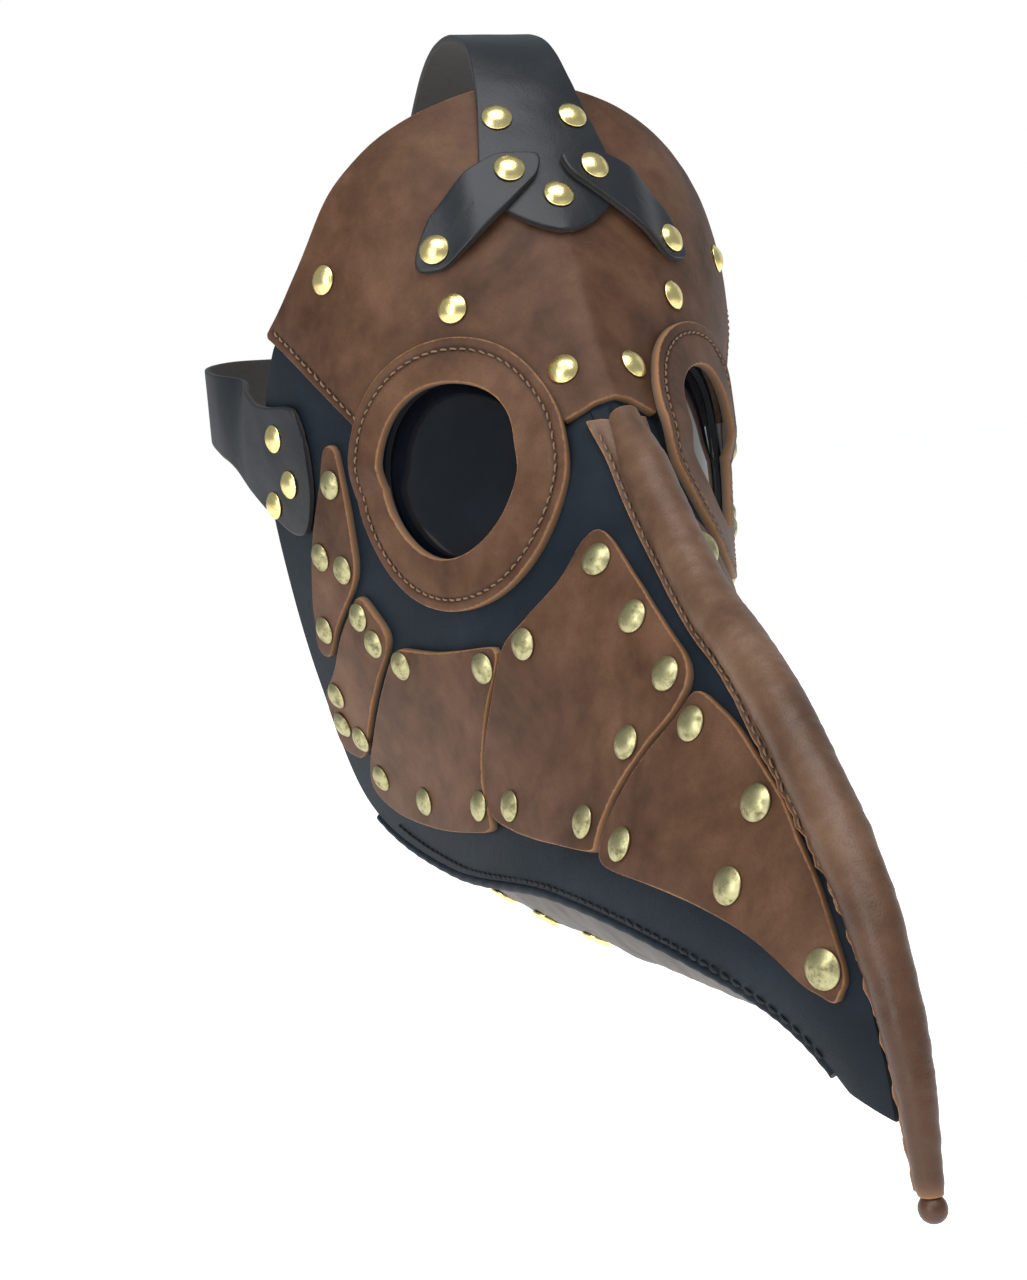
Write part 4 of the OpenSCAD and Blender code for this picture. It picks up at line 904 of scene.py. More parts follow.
def flange_s(t, side):
    """How far across the form a flange reaches: it narrows to the tip, where it was also cut less neatly."""
    top_corner = 1.6 * np.exp(-((t - ROLL_START) / 0.22) ** 2)
    width = FLANGE_W * (1 - 0.5 * fade(t, 7.2, 9.2)) * (1 - 0.5 * fade(t, 9.4, 10.9)) + top_corner
    nicks = 0.07 * np.sin(t * 17 + 2 * side) + 0.08 * np.sin(t * 31 + side) ** 3
    width = width * (1 + 0.025 * np.sin(t * 5.1 + side) + fade(t, 6.8, 8.6) * nicks)
    return width / np.linalg.norm(slopes(np.full_like(t, 0.05), t)[0], axis=-1)


ts = ROLL_START + (ROLL_END - ROLL_START) * fringe(235, 1.15)
turns = np.radians(np.linspace(-ROLL_TURN, ROLL_TURN, 34))
ridge_points, ridge_n = form(np.zeros_like(ts), ts), outward(np.zeros_like(ts), ts)
lift = ROLL_LIFT * roll_radius(ts) / ROLL_R
middle = ridge_points + lift[:, None] * ridge_n
flange_f = np.array([1, 0.985, 0.96, 0.92, 0.85, 0.76, 0.66, 0.55])
left_flange = np.stack([lay(-flange_s(ts, -1) * f, ts, 1.3 + 0 * ts) for f in flange_f], 1)
right_flange = np.stack([lay(flange_s(ts, 1) * f, ts, 1.3 + 0 * ts) for f in flange_f[::-1]], 1)
round_part = middle[:, None] + (roll_radius(ts) - ROLL_HALF_T)[:, None, None] * (
    np.sin(turns)[None, :, None] * np.array([1.0, 0, 0]) + np.cos(turns)[None, :, None] * ridge_n[:, None])
section = np.concatenate([left_flange, round_part, right_flange], 1)


def grid_normals(P):
    """Normals of a grid of points from its own rows and columns."""
    across, along = np.gradient(P, axis=1), np.gradient(P, axis=0)
    return unit(np.cross(along, across))


section_n = grid_normals(section)
crease_lines = np.exp(-((np.mod(ts * 7.3 + 0.9 * np.sin(ts * 3.1), 1.9) - 0.5) / 0.13) ** 2)
bends = 0.25 + 0.75 * np.exp(-((ts - 5.6) / 0.9) ** 2) + 0.5 * np.exp(-((ts - 9.6) / 0.8) ** 2)
creases = -0.30 * crease_lines * bends
sideways = np.concatenate([np.zeros(8), np.cos(turns * 0.66) ** 2, np.zeros(8)])
texture = creases[:, None] * sideways[None] + 0.22 * ripple(section, 17, 90) + 0.10 * ripple(section, 6, 91)
seam_t = np.linspace(3.52, 9.0, 420)
seam_lines = [lay(flange_s(seam_t, k) * RIDGE_SEAM * k, seam_t, 1.3 + 0 * seam_t) for k in (-1, 1)]
ridge_seam = np.maximum(near_line(section, seam_lines[0], 0.75), near_line(section, seam_lines[1], 0.75))
ridge = slab("beak_ridge", section, section_n, -ROLL_HALF_T, ROLL_HALF_T, extra=texture - 0.3 * ridge_seam,
             rounding=0.5, seam=0.8 * ridge_seam)
finish_piece(ridge, ridge_leather, ["beak_ridge"])

for side, hand in HANDS:
    along = np.linspace(3.55, 8.9, 400)
    s = flange_s(along, side) * RIDGE_SEAM
    stitches(f"ridge_stitches_{hand}", lay(s, along, np.full_like(along, 2.05)), outward(s, along),
             tan_thread,
             seed=95 + side, side=side, pitch=3.4, length=2.4, radius=0.34, sink=0.05)

# %% The core, with its small ball at the tip
core_t = np.linspace(ROLL_START + 0.1, ROLL_END, 120)
core_r = np.minimum(4.2, roll_radius(core_t) - 2.1)
core_lift = ROLL_LIFT * roll_radius(core_t) / ROLL_R
core_mid = form(0 * core_t, core_t) + core_lift[:, None] * outward(0 * core_t, core_t)
out = unit(form(0, 11.0) - form(0, 10.7))
tip = core_mid[-1]
angles = np.linspace(0, 2 * np.pi, 24, endpoint=False)
sideways, side_way = np.array([1.0, 0, 0]), np.cross(out, [1, 0, 0])
loops = [c + r_ * (np.sin(angles)[:, None] * sideways + np.cos(angles)[:, None] * outward(0, t_))
         for c, r_, t_ in zip(core_mid, core_r, core_t)]
BALL_R, BALL_OUT = 3.1, 2.6
for b in np.radians([-58, -40, -20, 0, 20, 40, 60, 80]):
    loops.append(tip + (BALL_OUT + BALL_R * math.sin(b)) * out + BALL_R * math.cos(b) * (
        np.sin(angles)[:, None] * sideways - np.cos(angles)[:, None] * side_way))


def capped_tube(loops, first, last):
    """Points and faces of a tube from loops of points, closed by a point at each end."""
    rows, sides = len(loops), len(loops[0])
    faces = tube_faces(rows, sides)
    faces += [(rows * sides, (j + 1) % sides, j) for j in range(sides)]
    end = (rows - 1) * sides
    faces += [(rows * sides + 1, end + j, end + (j + 1) % sides) for j in range(sides)]
    return np.concatenate([*loops, [first], [last]]), faces


core_points, core_faces = capped_tube(loops, core_mid[0], tip + 5.72 * out)
knobs = 0.08 * ripple(core_points, 5, 8)
core_points = core_points + unit(core_points - core_points.mean(0)) * knobs[:, None]
core = mesh_piece("ridge_core", core_points, core_faces, plain_marks(len(core_points)))
finish_piece(core, tip_leather, ["ridge_core"])
print("ridge done")

# %% [markdown]
# ## Fold at the nose bridge
# Above the ridge the two black panels meet, and their spare leather bunches into a small fold under the
# notch of the forehead. It is a short curved sheet with two soft pleats.

# %% Nose fold
fold_t = 3.18 + (3.72 - 3.18) * fringe(19, 0.6)
fold_s = np.linspace(-0.062, 0.062, 61)
T, S_ = np.meshgrid(fold_t, fold_s, indexing="ij")
P, N = form(S_, T), outward(S_, T)
show = smooth((T - 3.30) / 0.08) * smooth((3.72 - T) / 0.1)
pleats = show * (0.5 + 0.75 * np.cos(S_ / 0.062 * 2.2 * np.pi) * np.exp(-(S_ / 0.05) ** 2))
fold = slab("nose_fold", P, N, -0.9, 0.05, extra=pleats + 0.1 * ripple(P, 7, 5))
finish_piece(fold, black)

# %% [markdown]
# ## Gusset, eyelets and piping
# A softer grey-brown sheet closes the beak from below. It is drawn as one hanging sheet between the two
# lower edges. Brass eyelets let air in, and a black piping covers the seam on each side.

# %% Gusset
VENT_R = 2.9
VENTS = [(0.78, 7.2), (0.68, 7.5), (0.56, 7.85)]
GUSSET_FRONT, GUSSET_BACK = 10.42, 6.8
GUSSET_HOLLOW, GUSSET_DEPTH = 0.5, 23.0


def gusset_depth(t):
    """How far the sheet hangs below its two edges at a station."""
    return GUSSET_DEPTH * (1 - (1 - fade(t, 6.6, 7.8)) ** 2) * (1 - fade(t, 8.2, 10.5))


def gusset_base(w, t):
    w, t = np.broadcast_arrays(np.asarray(w, float), np.asarray(t, float))
    q = rib(t)
    half_w = q[..., 2] - PANEL_T - 0.25
    return np.stack([w * half_w, q[..., 3], q[..., 4] + 1 - gusset_depth(t) * (1 - np.abs(w) ** 3)], -1)


def gusset_out(w, t):
    e = 0.02
    return unit(np.cross(gusset_base(w, t + e) - gusset_base(w, t - e),
                         gusset_base(w - e, t) - gusset_base(w + e, t)))


ws = np.linspace(-1, 1, 81)
down = fringe(190, 1.7)
W, D = np.meshgrid(ws, down, indexing="xy")
T = GUSSET_FRONT + (GUSSET_BACK + GUSSET_HOLLOW * (1 - W ** 2) - GUSSET_FRONT) * D
P, N = gusset_base(W, T), gusset_out(W, T)
if N[len(down) // 2, 40, 2] > 0:
    N = -N
wrinkles = 0.35 * ripple(P, 30, 14) + 0.16 * ripple(P, 9, 15)
wrinkles = np.minimum(wrinkles, 0.3) * np.clip((1 - np.abs(W)) * 12, 0, 1)
gusset = slab("beak_gusset", P, N, -PANEL_T, 0.0, extra=wrinkles)


def cut_away(piece, tool):
    """Takes one mesh out of another, and throws the tool away."""
    bpy.context.view_layer.objects.active = piece
    cut = piece.modifiers.new("cut", "BOOLEAN")
    cut.object, cut.operation, cut.solver = tool, "DIFFERENCE", "EXACT"
    bpy.ops.object.modifier_apply(modifier=cut.name)
    bpy.data.objects.remove(tool, do_unlink=True)
    return piece


def punched(piece, centres, axes, radius, long=12.0, slot=None):
    """Cuts round holes through a piece. slot is (direction, half length) to stretch the last one along."""
    points, faces, steps = [], [], 28
    turns = np.arange(steps) * 2 * math.pi / steps
    for number, (c, n) in enumerate(zip(centres, axes)):
        n = unit(np.asarray(n, float))
        a = unit(np.cross(n, [0.31, 0.22, 0.9])) if slot is None else unit(np.asarray(slot[0], float))
        b = np.cross(n, a)
        stretch = slot[1] if slot is not None and number == len(centres) - 1 else 0
        base = len(points)
        for h in (-long / 2, long / 2):
            for x in turns:
                along = radius * math.cos(x) + stretch * np.sign(math.cos(x) + 1e-9)
                points.append(c + h * n + along * a + radius * math.sin(x) * b)
        faces += tube_faces(2, steps, base)
        faces += [tuple(base + steps - 1 - j for j in range(steps)), tuple(base + steps + j for j in range(steps))]
    return cut_away(piece, mesh_piece("punch", np.array(points), faces))


vent_places = [(w * k, t) for w, t in VENTS for k in (1, -1)]
punched(gusset, [gusset_base(*v) for v in vent_places], [gusset_out(*v) for v in vent_places], VENT_R)
finish_piece(gusset, gusset_leather, ["beak_gusset"])

# %% Eyelets
points, faces, steps = [], [], 36
EYELET = [(2.4, -2.6), (3.4, -2.75), (4.2, -2.65), (4.4, -2.3), (2.9, -2.2), (2.9, 0.1), (4.4, 0.1),
          (4.45, 0.45), (4.1, 0.9), (3.4, 1.15), (2.8, 1.0), (2.45, 0.5)]       # radius, height
for place in vent_places:
    c, n = gusset_base(*place), gusset_out(*place)
    n = n if n[2] < 0 else -n
    a = unit(np.cross(n, [0.2, 0.9, 0.1]))
    b, base = np.cross(n, a), len(points)
    for radius, h in EYELET:
        points += circle(c + h * n, radius, a, b, steps)
    faces += tube_faces(len(EYELET), steps, base, closed=True)
eyelets = mesh_piece("vent_eyelets", np.array(points), faces, smooth_angle=60)
finish_piece(eyelets, bright_brass, ["vent_eyelets"])

# %% Piping along the lower seam
PIPE_ROWS = 240
PIPE_R, PIPE_OUT = 1.45, 1.25        # its radius, and how far its middle is below the panel's edge
for side, hand in HANDS:
    ts = np.linspace(6.12, 10.33, PIPE_ROWS)
    one = np.ones_like(ts)
    dt = slopes(one, ts)[1]
    mid = lay(one, ts, one * -PANEL_T / 2) + PIPE_OUT * unit(np.cross(outward(one, ts), dt))
    way = unit(np.gradient(mid, axis=0))
    across = unit(np.cross(way, [1.0, 0, 0]))
    upward = np.cross(across, way)
    a = np.linspace(0, 2 * np.pi, 14, endpoint=False)
    swell = PIPE_R + 0.07 * np.sin(np.arange(PIPE_ROWS) * 0.9)
    grid = mid[:, None] + swell[:, None, None] * (
        np.cos(a)[None, :, None] * upward[:, None] + np.sin(a)[None, :, None] * across[:, None])
    points, faces = capped_tube(list(grid), mid[0], mid[-1])
    piping = mesh_piece(f"seam_binding_{hand}", points, faces, plain_marks(len(points)), side=side)
    finish_piece(piping, black, [f"seam_binding_{hand}"])
    seam_t = np.linspace(6.3, 10.2, 300)
    s = np.full_like(seam_t, 0.965)
    stitches(f"seam_stitches_{hand}", lay(s, seam_t, 0 * seam_t), outward(s, seam_t), black_thread,
             seed=130 + side, side=side, pitch=3.6, length=2.7, radius=0.42, sink=0.0)
print("gusset done")

# %% [markdown]
# ## Harness
# Two black straps are one piece each with their riveted tabs. They leave the form at the temples and run
# round the head. A strap is a grid whose columns follow a smooth curve through a few stations, so it
# bends without kinks. Its two faces are parallel, and both long edges are rounded.

# %% Smooth strap maker
def through(stations, step=2.0):
    """A dense, smooth run of columns through a few given columns (stations x width x 3)."""
    stations = np.asarray(stations, float)
    out = []
    for i in range(len(stations) - 1):
        b, c = stations[i], stations[i + 1]
        a = stations[i - 1] if i else 2 * b - c
        d = stations[i + 2] if i + 2 < len(stations) else 2 * c - b
        lb = max(np.linalg.norm((c - b).mean(0)), 1e-6)
        la, ld = max(np.linalg.norm((b - a).mean(0)), 1e-6), max(np.linalg.norm((d - c).mean(0)), 1e-6)
        mb = ((c - b) / lb + (b - a) / la) / 2 * lb
        mc = ((d - c) / ld + (c - b) / lb) / 2 * lb
        n = max(2, int(math.ceil(lb / step)))
        for f in np.arange(n) / n:
            h00, h10 = 2 * f ** 3 - 3 * f ** 2 + 1, f ** 3 - 2 * f ** 2 + f
            h01, h11 = -2 * f ** 3 + 3 * f ** 2, f ** 3 - f ** 2
            out.append(h00 * b + h10 * mb + h01 * c + h11 * mc)
    out.append(stations[-1])
    return np.array(out)


def with_fringe(P):
    """Adds close rows at both ends of a strap, for its rounded cut ends."""
    first, last = P[1] - P[0], P[-2] - P[-1]
    a = [P[0] + first * (k / np.linalg.norm(first.mean(0))) for k in (0.12, 0.3, 0.6)]
    b = [P[-1] + last * (k / np.linalg.norm(last.mean(0))) for k in (0.6, 0.3, 0.12)]
    return np.concatenate([P[:1], a, P[1:-1], b, P[-1:]])


WIDTHS = fringe(25, 1.9) * 2 - 1
TAB_TOP = [[0.788, 2.95], [0.795, 2.78], [0.822, 2.68], [0.90, 2.60], [0.98, 2.48], [1.07, 2.24], [1.15, 2.04]]
TAB_LOW = [[0.788, 3.10], [0.802, 3.42], [0.845, 3.76], [0.89, 3.83], [0.96, 3.64], [1.05, 3.32], [1.15, 3.00]]
STRAP_T, TAB_LIFT = 2.0, 0.5


def tab_columns():
    out = []
    for a, b in zip(TAB_TOP, TAB_LOW):
        line = np.array(a) + (np.array(b) - np.array(a)) * ((WIDTHS + 1) / 2)[:, None]
        out.append(lay(line[:, 0], line[:, 1], level(TAB_LIFT + STRAP_T / 2)))
    return out


def level(value):
    """The same number at every place across a strap."""
    return np.full_like(WIDTHS, value)


def free_columns(path):
    """Upright columns at [x, y, height, half width]."""
    return [np.stack([level(x), level(y), z - WIDTHS * h], -1) for x, y, z, h in path]


REAR_PIVOT, REAR_TURN, REAR_Z = (44.0, 204.0), math.radians(-20), 6.0
CROWN_PIVOT, CROWN_TURN = (165.0, 80.0), math.radians(-40)
TAIL_HALF = 12.5
STRAP_HOLES, STRAP_HOLE_R = [(8, 4.9), (18, 4.9), (-25, 0)], 1.7            # [u, v] of each hole
SLOT_MIDDLE, SLOT_HALF, SLOT_LONG = (-6.75, 3.2), 2.3, 5.95                 # the slot for the prong
TAIL = [(-26, 0, 12.5), (-20, 0, 12.5), (-15, 1.45, 12.5), (-3, 4.9, 12.5), (1.5, 4.9, 12.5), (12, 4.9, 12.5),
        (22, 4.9, 10.5), (25.5, 4.9, 6.5), (27, 4.9, 2.0)]


def beside(pivot, turn, u, v):
    """A place u along the strap and v outwards from a buckle's bar, in the plane that the strap bends in."""
    return (pivot[0] + u * math.cos(turn) - v * math.sin(turn),
            pivot[1] + u * math.sin(turn) + v * math.cos(turn))


SIDE_SWEEP = [(89, 146, 0, 14), (89.5, 164, 3, 13)]
LEFT_SWEEP = [(89, 173, 4, 12.5), (86.5, 183.5, 6, 12.5)]
BACK_SWEEP = [(84.5, 181, 5, 12.5), (74, 196, 6, 12.5), (58, 206.5, 6, 12.5), (38, 213, 6, 12.5),
              (14, 216.4, 6, 12.5), (0, 216.9, 6, 12.5), (-12, 215.8, 6, 12.5)]


def strap_grid(stations, row, towards):
    """Points and normals of a strap. The normals of one row settle which face is the outer one."""
    P = with_fringe(through(stations))
    N = grid_normals(P)
    if N[row, P.shape[1] // 2] @ np.asarray(towards, float) < 0:
        N = -N
    return P, N


# %% Rear straps with their tabs
chape_part = [(*beside(REAR_PIVOT, REAR_TURN, u, 0), REAR_Z, TAIL_HALF) for u in (39, 24, 9)]
left_stations = tab_columns() + free_columns(SIDE_SWEEP + LEFT_SWEEP + chape_part)
tail_places = [(*beside(REAR_PIVOT, REAR_TURN, u, v), h) for u, v, h in TAIL]
tail_part = [(-x, y, REAR_Z, h) for x, y, h in tail_places]
REAR_ALONG = np.array([math.cos(REAR_TURN), math.sin(REAR_TURN), 0])
REAR_OUT = np.array([-math.sin(REAR_TURN), math.cos(REAR_TURN), 0])
right_stations = tab_columns() + free_columns(SIDE_SWEEP + BACK_SWEEP + tail_part)
for side, hand, stations in ((1, "left", left_stations), (-1, "right", right_stations)):
    P, N = strap_grid(stations, 4, outward(0.88, 3.1))
    caps = [lay(s, t, TAB_LIFT + STRAP_T) for s, t in TAB_RIVETS]
    strap = slab(f"rear_strap_{hand}", P, N, -STRAP_T / 2, STRAP_T / 2, dents=caps, dent_depth=0.25, side=side,
                 extra=0.08 * ripple(P * [side, 1, 1], 30, 150 + side), both=True)
    if hand == "right":
        spots = [np.array([*beside(REAR_PIVOT, REAR_TURN, u, v), REAR_Z]) for u, v in STRAP_HOLES]
        punched(strap, spots, [REAR_OUT] * len(spots), STRAP_HOLE_R, 6.0)
        slot_spot = np.array([*beside(REAR_PIVOT, REAR_TURN, *SLOT_MIDDLE), REAR_Z])
        punched(strap, [slot_spot], [REAR_OUT], SLOT_HALF, 12.0, (REAR_ALONG, SLOT_LONG))
    finish_piece(strap, strap_leather, [f"rear_strap_{hand}"])
    places = [(lay(s, t, TAB_LIFT + STRAP_T - 0.15), outward(s, t), TAB_LIFT + STRAP_T + 1.9)
              for s, t in TAB_RIVETS]
    rivet_caps(f"tab_rivets_{hand}", places, bright_brass, [f"tab_rivets_{hand}"],
               seed=160 + side, side=side)

# %% Crown strap
TONGUE = [(0.25, 14.5), (0.6, 16), (0.95, 18), (1.25, 19.5), (1.5, 19), (1.68, 16), (1.8, 11.5), (1.9, 6.5),
          (1.96, 1.5)]        # [station of the form, half width]
CROWN_MIDDLE_ROW = 50
CROWN_PATH = [(127, 108), (110, 113), (93, 113.5), (78, 110.5), (66.5, 105.2)]


def s_at(x, t):
    """The s that lies about x millimetres to the side at a station."""
    q = rib(t)
    return x / (q[..., 2] * (1 - q[..., 5] + 1.5708 * q[..., 5]))


stations = []
for u, v, h in TAIL[::-1]:
    y, z = beside(CROWN_PIVOT, CROWN_TURN, u, v)
    stations.append(np.stack([WIDTHS * h, level(y), level(z)], -1))
for i, (y, z) in enumerate(CROWN_PATH):
    h = TAIL_HALF + (14 - TAIL_HALF) * i / len(CROWN_PATH)
    stations.append(np.stack([WIDTHS * h, level(y), level(z)], -1))
for t, h in TONGUE:
    stations.append(lay(s_at(WIDTHS * h, level(t)), level(t), level((ON_PLATE + STRAP_TOP) / 2)))
P, N = strap_grid(stations, CROWN_MIDDLE_ROW, [0, 0, 1])
CROWN_SPOTS = [[0.10, 0.73], [-0.10, 0.73], [0, 1.62]]
caps = [lay(s, t, STRAP_TOP) for s, t in CROWN_SPOTS]
crown = slab("crown_strap", P, N, -1.15, 1.15, dents=caps, dent_depth=0.3, extra=0.10 * ripple(P, 26, 170),
             both=True)
CROWN_ALONG = np.array([0, math.cos(CROWN_TURN), math.sin(CROWN_TURN)])
CROWN_OUT = np.array([0, -math.sin(CROWN_TURN), math.cos(CROWN_TURN)])
spots = [np.array([0, *beside(CROWN_PIVOT, CROWN_TURN, u, v)]) for u, v in STRAP_HOLES]
punched(crown, spots, [CROWN_OUT] * len(spots), STRAP_HOLE_R, 6.0)
slot_spot = np.array([0, *beside(CROWN_PIVOT, CROWN_TURN, *SLOT_MIDDLE)])
punched(crown, [slot_spot], [CROWN_OUT], SLOT_HALF, 12.0, (CROWN_ALONG, SLOT_LONG))
finish_piece(crown, strap_leather, ["crown_strap"])

# %% Crown arms and their rivets
for side, hand in HANDS:
    outline = rounded(clockwise(CROWN_ARM), 3.0)
    st = from_centre(outline, np.array([0.19, 1.62]), 1.2)
    P, N = form(st[..., 0], st[..., 1]), outward(st[..., 0], st[..., 1])
    low = ON_STRAP + (ON_PLATE - ON_STRAP) * smooth((st[..., 0] - 0.185) / 0.10)
    caps = [lay(0.10, 1.36, ARM_TOP), lay(0.30, 1.92, STRAP_TOP)]
    arm = slab(f"crown_arm_{hand}", P, N, low, low + 2.2, cut=(False, True, False, False), wrap=True, pole=True,
               dents=caps, dent_depth=0.3, side=side, extra=0.08 * ripple(P * [side, 1, 1], 20, 180 + side))
    finish_piece(arm, strap_leather, [f"crown_arm_{hand}"])
places = [(lay(s, t, STRAP_TOP - 0.2), outward(s, t), STRAP_TOP + 1.0) for s, t in CROWN_SPOTS]
places += [(lay(s, 1.36, ARM_TOP - 0.35), outward(s, 1.36), ARM_TOP + 0.8) for s in (0.10, -0.10)]
places += [(lay(s, 1.92, STRAP_TOP - 0.35), outward(s, 1.92), STRAP_TOP + 0.8) for s in (0.30, -0.30)]
rivet_caps("crown_rivets", places, bright_brass, ["crown_rivets"], seed=190)

# %% Strap down the back of the head
LOOP_R = 3.65               # the strap's end is folded up round the rear strap and riveted
fold_line = [(215.65 + LOOP_R * math.cos(a), REAR_Z - 13 + LOOP_R * math.sin(a))
             for a in np.radians(np.arange(0, -181, -15))]
path = [beside(CROWN_PIVOT, CROWN_TURN, u, 0) for u in (9, 24, 38)]
path += [(203, REAR_Z + 39), (210.5, REAR_Z + 30), (216.3, REAR_Z + 21), (219.3, REAR_Z + 11)] + fold_line
path += [(212, REAR_Z + 11), (213.2, REAR_Z + 19)]
narrow = fringe(23, 1.9) * 2 - 1
stations = [np.stack([narrow * 11.5, np.full_like(narrow, y), np.full_like(narrow, z)], -1) for y, z in path]
P, N = strap_grid(stations, 2, [0, 1, 0])
crown_rear = slab("crown_rear_strap", P, N, -1.0, 1.0, extra=0.06 * ripple(P, 26, 200), both=True)
finish_piece(crown_rear, strap_leather, ["crown_rear_strap"])

# %% [markdown]
# ## Buckles
# A buckle is a bent wire frame on a folded leather chape, with a prong that turns on the same bar. Each
# moving piece is its own object and rides on its own body, so the joints of the solid model can move it.
# They are made once in flat coordinates: u along the strap, v outwards, w across.

# %% Buckle makers
def rear_place(uvw):
    u, v, w = np.moveaxis(np.asarray(uvw, float), -1, 0)
    x, y = beside(REAR_PIVOT, REAR_TURN, u, v)
    return np.stack([x, y, REAR_Z + w], -1)


def crown_place(uvw):
    u, v, w = np.moveaxis(np.asarray(uvw, float), -1, 0)
    y, z = beside(CROWN_PIVOT, CROWN_TURN, u, v)
    return np.stack([w, y, z], -1)


def tube(line, radius, closed=False, sides=16, across=(0, 1, 0)):
    """Points and faces of a round wire along a line in flat coordinates."""
    line = np.asarray(line, float)
    n = len(line)
    if closed:
        way = unit(np.roll(line, -1, 0) - np.roll(line, 1, 0))
    else:
        way = unit(np.gradient(line, axis=0))
    across = np.asarray(across, float)
    b = unit(across - (way @ across)[:, None] * way)
    c = np.cross(way, b)
    a = np.linspace(0, 2 * np.pi, sides, endpoint=False)
    radius = np.broadcast_to(np.asarray(radius, float), (n,))
    grid = line[:, None] + radius[:, None, None] * (
        np.cos(a)[None, :, None] * b[:, None] + np.sin(a)[None, :, None] * c[:, None])
    faces = tube_faces(n, sides, closed=closed)
    if not closed:
        faces += [tuple(range(sides))[::-1], tuple((n - 1) * sides + j for j in range(sides))]
    return grid.reshape(-1, 3), faces


WIRE, REACH = 1.4, 22.0        # radius of the wire, and distance between the frame's two bars
frame_tilt = math.atan((WIRE + STRAP_T / 2 + 0.4) / REACH)
frame_half = TAIL_HALF + 1.3 + WIRE


def corners(centres, radius, step):
    """Quarter circles round (x, y, first angle) centres, as one line."""
    return [(x + radius * math.cos(a), y + radius * math.sin(a))
            for x, y, first in centres for a in np.radians(np.arange(first, first + 91, step))]


def buckle_frame_mesh(place):
    corner = 4.0
    line = corners([(-REACH + corner, frame_half - corner, 90), (-REACH + corner, -frame_half + corner, 180)],
                   corner, 11.25)
    start = [(u, frame_half) for u in (0.0, -5, -10, -15)]
    flat = start + line + [(u, -frame_half) for u in (-15, -10, -5, 0.0)]
    flat += [(0.0, w) for w in np.linspace(-frame_half, frame_half, 14)[1:-1]]
    line3 = np.array([(u * math.cos(frame_tilt), -u * math.sin(frame_tilt), w) for u, w in flat])
    points, faces = tube(line3, WIRE * 0.98, closed=True, across=(0.1, 1, 0.05))
    return place(points), faces


def prong_mesh(place):
    a = np.linspace(0, 2 * np.pi, 40, endpoint=False)
    points, faces = [], []
    for r_, w in ((1.5, -2), (2.75, -2), (2.9, -1.8), (2.9, 1.8), (2.75, 2), (1.5, 2)):
        points += [(r_ * math.cos(x), r_ * math.sin(x), w) for x in a]
    faces += [f[::-1] for f in tube_faces(6, 40, closed=True)]
    rise = 2 * WIRE + STRAP_T / 2 + 0.4 + 1.1 + 0.15
    u = np.linspace(-1.2, -REACH - 2, 24)
    v = 1.9 + (rise - 1.9) * (-u / REACH) + 0.25 * np.sin(np.clip(-u / REACH, 0, 1) * np.pi)
    radius = np.concatenate([np.full(19, 1.1), [1.08, 1.02, 0.9, 0.7, 0.35]])
    p2, f2 = tube(np.stack([u, v, 0 * u], -1), radius, across=(0, 0, 1))
    faces += [tuple(i + len(points) for i in f) for f in f2]
    return place(np.concatenate([np.array(points), p2])), faces


CHAPE_R, CHAPE_W = 2.6, 24.0


def chape_piece(name, place, nodes):
    along = (1, 4, 10, 16, 22, 28, 34, 38)
    line = [(u, -CHAPE_R) for u in along[::-1]]
    line += [(CHAPE_R * math.cos(a), CHAPE_R * math.sin(a)) for a in np.radians(np.arange(-90, -271, -15))]
    line += [(u, CHAPE_R) for u in along]
    w = (fringe(CHAPE_W, 1.9) - 0.5) * CHAPE_W
    P = np.stack([np.stack([np.full_like(w, u), np.full_like(w, v), w], -1) for u, v in line])
    P = with_fringe(through(P, 1.0))
    N = grid_normals(P)
    if N[-5, len(w) // 2, 1] < 0:
        N = -N
    flat = slab(name, place(P), place(P + N) - place(P), -0.85, 0.85, both=True)
    fork = [(u, v, ww) for u in (-6, 7) for v in (-6, 6) for ww in (-3.1, 3.1)]
    fork_faces = [(0, 1, 3, 2), (4, 6, 7, 5), (0, 4, 5, 1), (2, 3, 7, 6), (0, 2, 6, 4), (1, 5, 7, 3)]
    cut_away(flat, mesh_piece("fork", place(np.array(fork)), fork_faces))
    return finish_piece(flat, strap_leather, nodes)


def keeper_piece(name, place, body, nodes):
    low, high, half_w, r_ = -3.55 - 0.45 - 0.9, 4.9 + 1 + 0.45 + 0.9, TAIL_HALF + 0.4 + 0.9, 2.2
    line = corners([(high - r_, half_w - r_, 0), (low + r_, half_w - r_, 90), (low + r_, -half_w + r_, 180),
                    (high - r_, -half_w + r_, 270)], r_, 15)
    dense = resample_plain(np.array(line), 120)
    us = 17 - 4.5 + 9 * fringe(9, 1.5)
    P = np.stack([np.stack([np.full(len(dense), u), dense[:, 0], dense[:, 1]], -1) for u in us])
    around = unit(np.roll(dense, -1, 0) - np.roll(dense, 1, 0))
    n2 = np.stack([np.zeros(len(dense)), around[:, 1], -around[:, 0]], -1)
    if n2[0, 1] < 0:
        n2 = -n2
    N = np.broadcast_to(n2[None], P.shape)
    piece = slab(name, place(P), place(P + N) - place(P), -0.85, 0.85, wrap=True, both=True, rounding=0.4)
    return finish_piece(piece, strap_leather, nodes, body)


def resample_plain(line, n):
    """n even points round a closed plane line."""
    ends = np.vstack([line, line[:1]])
    along = measured(line, closed=True)
    goal = along[-1] * np.arange(n) / n
    return np.stack([np.interp(goal, along, ends[:, k]) for k in (0, 1)], -1)


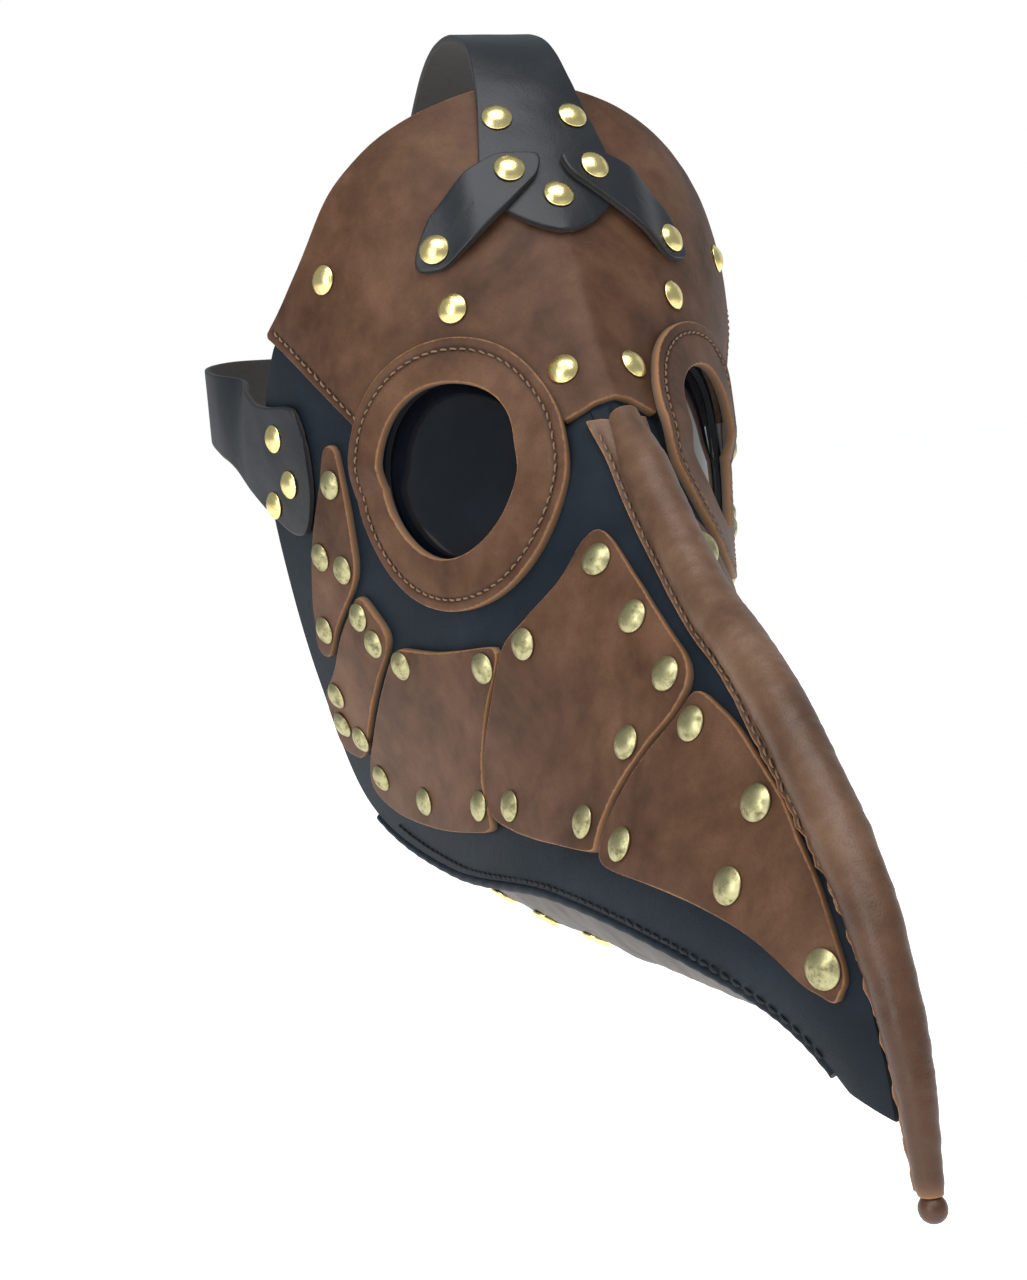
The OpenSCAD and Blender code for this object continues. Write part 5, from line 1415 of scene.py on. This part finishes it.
# %% Both buckles
for word, place in (("rear", rear_place), ("crown", crown_place)):
    points, faces = buckle_frame_mesh(place)
    wire = mesh_piece(f"{word}_buckle_frame", points, faces, smooth_angle=70)
    finish_piece(wire, buckle_brass, [f"{word}_buckle_frame"], f"{word}_frame")
    points, faces = prong_mesh(place)
    prong = mesh_piece(f"{word}_buckle_prong", points, faces, smooth_angle=50)
    finish_piece(prong, buckle_brass, [f"{word}_buckle_prong"], f"{word}_prong")
    chape_piece(f"{word}_chape", place, [f"{word}_chape"])
    keeper_piece(f"{word}_keeper", place, f"{word}_keeper", [f"{word}_keeper"])
places = []
for place in (rear_place, crown_place):
    n = place(np.array([33, 1.0, 0])) - place(np.array([33, 0, 0]))
    places += [(place(np.array([33, 3.35, w])), n, 7.0) for w in (-6, 6)]
loop_n = unit(np.array([0, math.cos(math.radians(20)), math.sin(math.radians(20))]))
places.append((np.array([0, 218.2, REAR_Z + 18.5]), loop_n, 6.0))
rivet_caps("harness_rivets", places, bright_brass, ["harness_rivets"], seed=210)

# %% [markdown]
# ## Floor and light
# A plain pale floor and a pale surround give soft, even light from every side. One large panel above and
# one from the left model the forms, and a weak one behind lights the far edges. Three panels are enough:
# more of them would flatten the leather.

# %% Floor
bpy.ops.mesh.primitive_plane_add(size=8, location=(0, 0, -0.30))
floor = bpy.context.object
floor.name = "floor"
fr = Recipe("pale_floor")
fr.shader.inputs["Emission Color"].default_value = (1, 0.985, 0.96, 1)
fr.shader.inputs["Emission Strength"].default_value = 0.70
fr.shader.inputs["Specular IOR Level"].default_value = 0.1
pale = fr.mix(fr.noise(3, 2), (0.86, 0.86, 0.86), (0.90, 0.90, 0.90))
floor.data.materials.append(fr.set(Base_Color=pale, Roughness=0.95))

# %% Lights and surround
# The surround looks white, and lights the mask with a softer, slightly cool white.
world = bpy.data.worlds.new("surround")
bpy.context.scene.world = world
world.use_nodes = True
wt = world.node_tree
soft_white = wt.nodes["Background"]
soft_white.inputs["Color"].default_value = (0.90, 0.955, 1.0, 1)
soft_white.inputs["Strength"].default_value = 0.36
seen_white = wt.nodes.new("ShaderNodeBackground")
seen_white.inputs["Color"].default_value = (1, 1, 1, 1)
seen_white.inputs["Strength"].default_value = 1.0
rays, blend = wt.nodes.new("ShaderNodeLightPath"), wt.nodes.new("ShaderNodeMixShader")
wt.links.new(rays.outputs["Is Camera Ray"], blend.inputs[0])
wt.links.new(soft_white.outputs[0], blend.inputs[1])
wt.links.new(seen_white.outputs[0], blend.inputs[2])
wt.links.new(blend.outputs[0], wt.nodes["World Output"].inputs["Surface"])


def panel_light(name, place, aim, size, power):
    data = bpy.data.lights.new(name, "AREA")
    data.shape, data.size, data.size_y, data.energy = "RECTANGLE", size[0], size[1], power
    light = bpy.data.objects.new(name, data)
    light.location = place
    light.rotation_euler = (Vector(aim) - Vector(place)).to_track_quat("-Z", "Y").to_euler()
    bpy.context.collection.objects.link(light)


panel_light("top_panel", (-0.15, -0.5, 1.1), (0, 0, 0), (1.2, 0.9), 14)
panel_light("left_panel", (-1.0, -0.7, 0.35), (0, 0, -0.03), (0.5, 0.9), 7)
panel_light("far_panel", (0.9, 0.5, 0.25), (0, 0.05, 0.0), (0.8, 0.9), 0.8)
bpy.context.scene.view_settings.view_transform = "Standard"
print("lights ready")

# %% Finish
print(len(made), "pieces drawn")
bpy.context.view_layer.update()
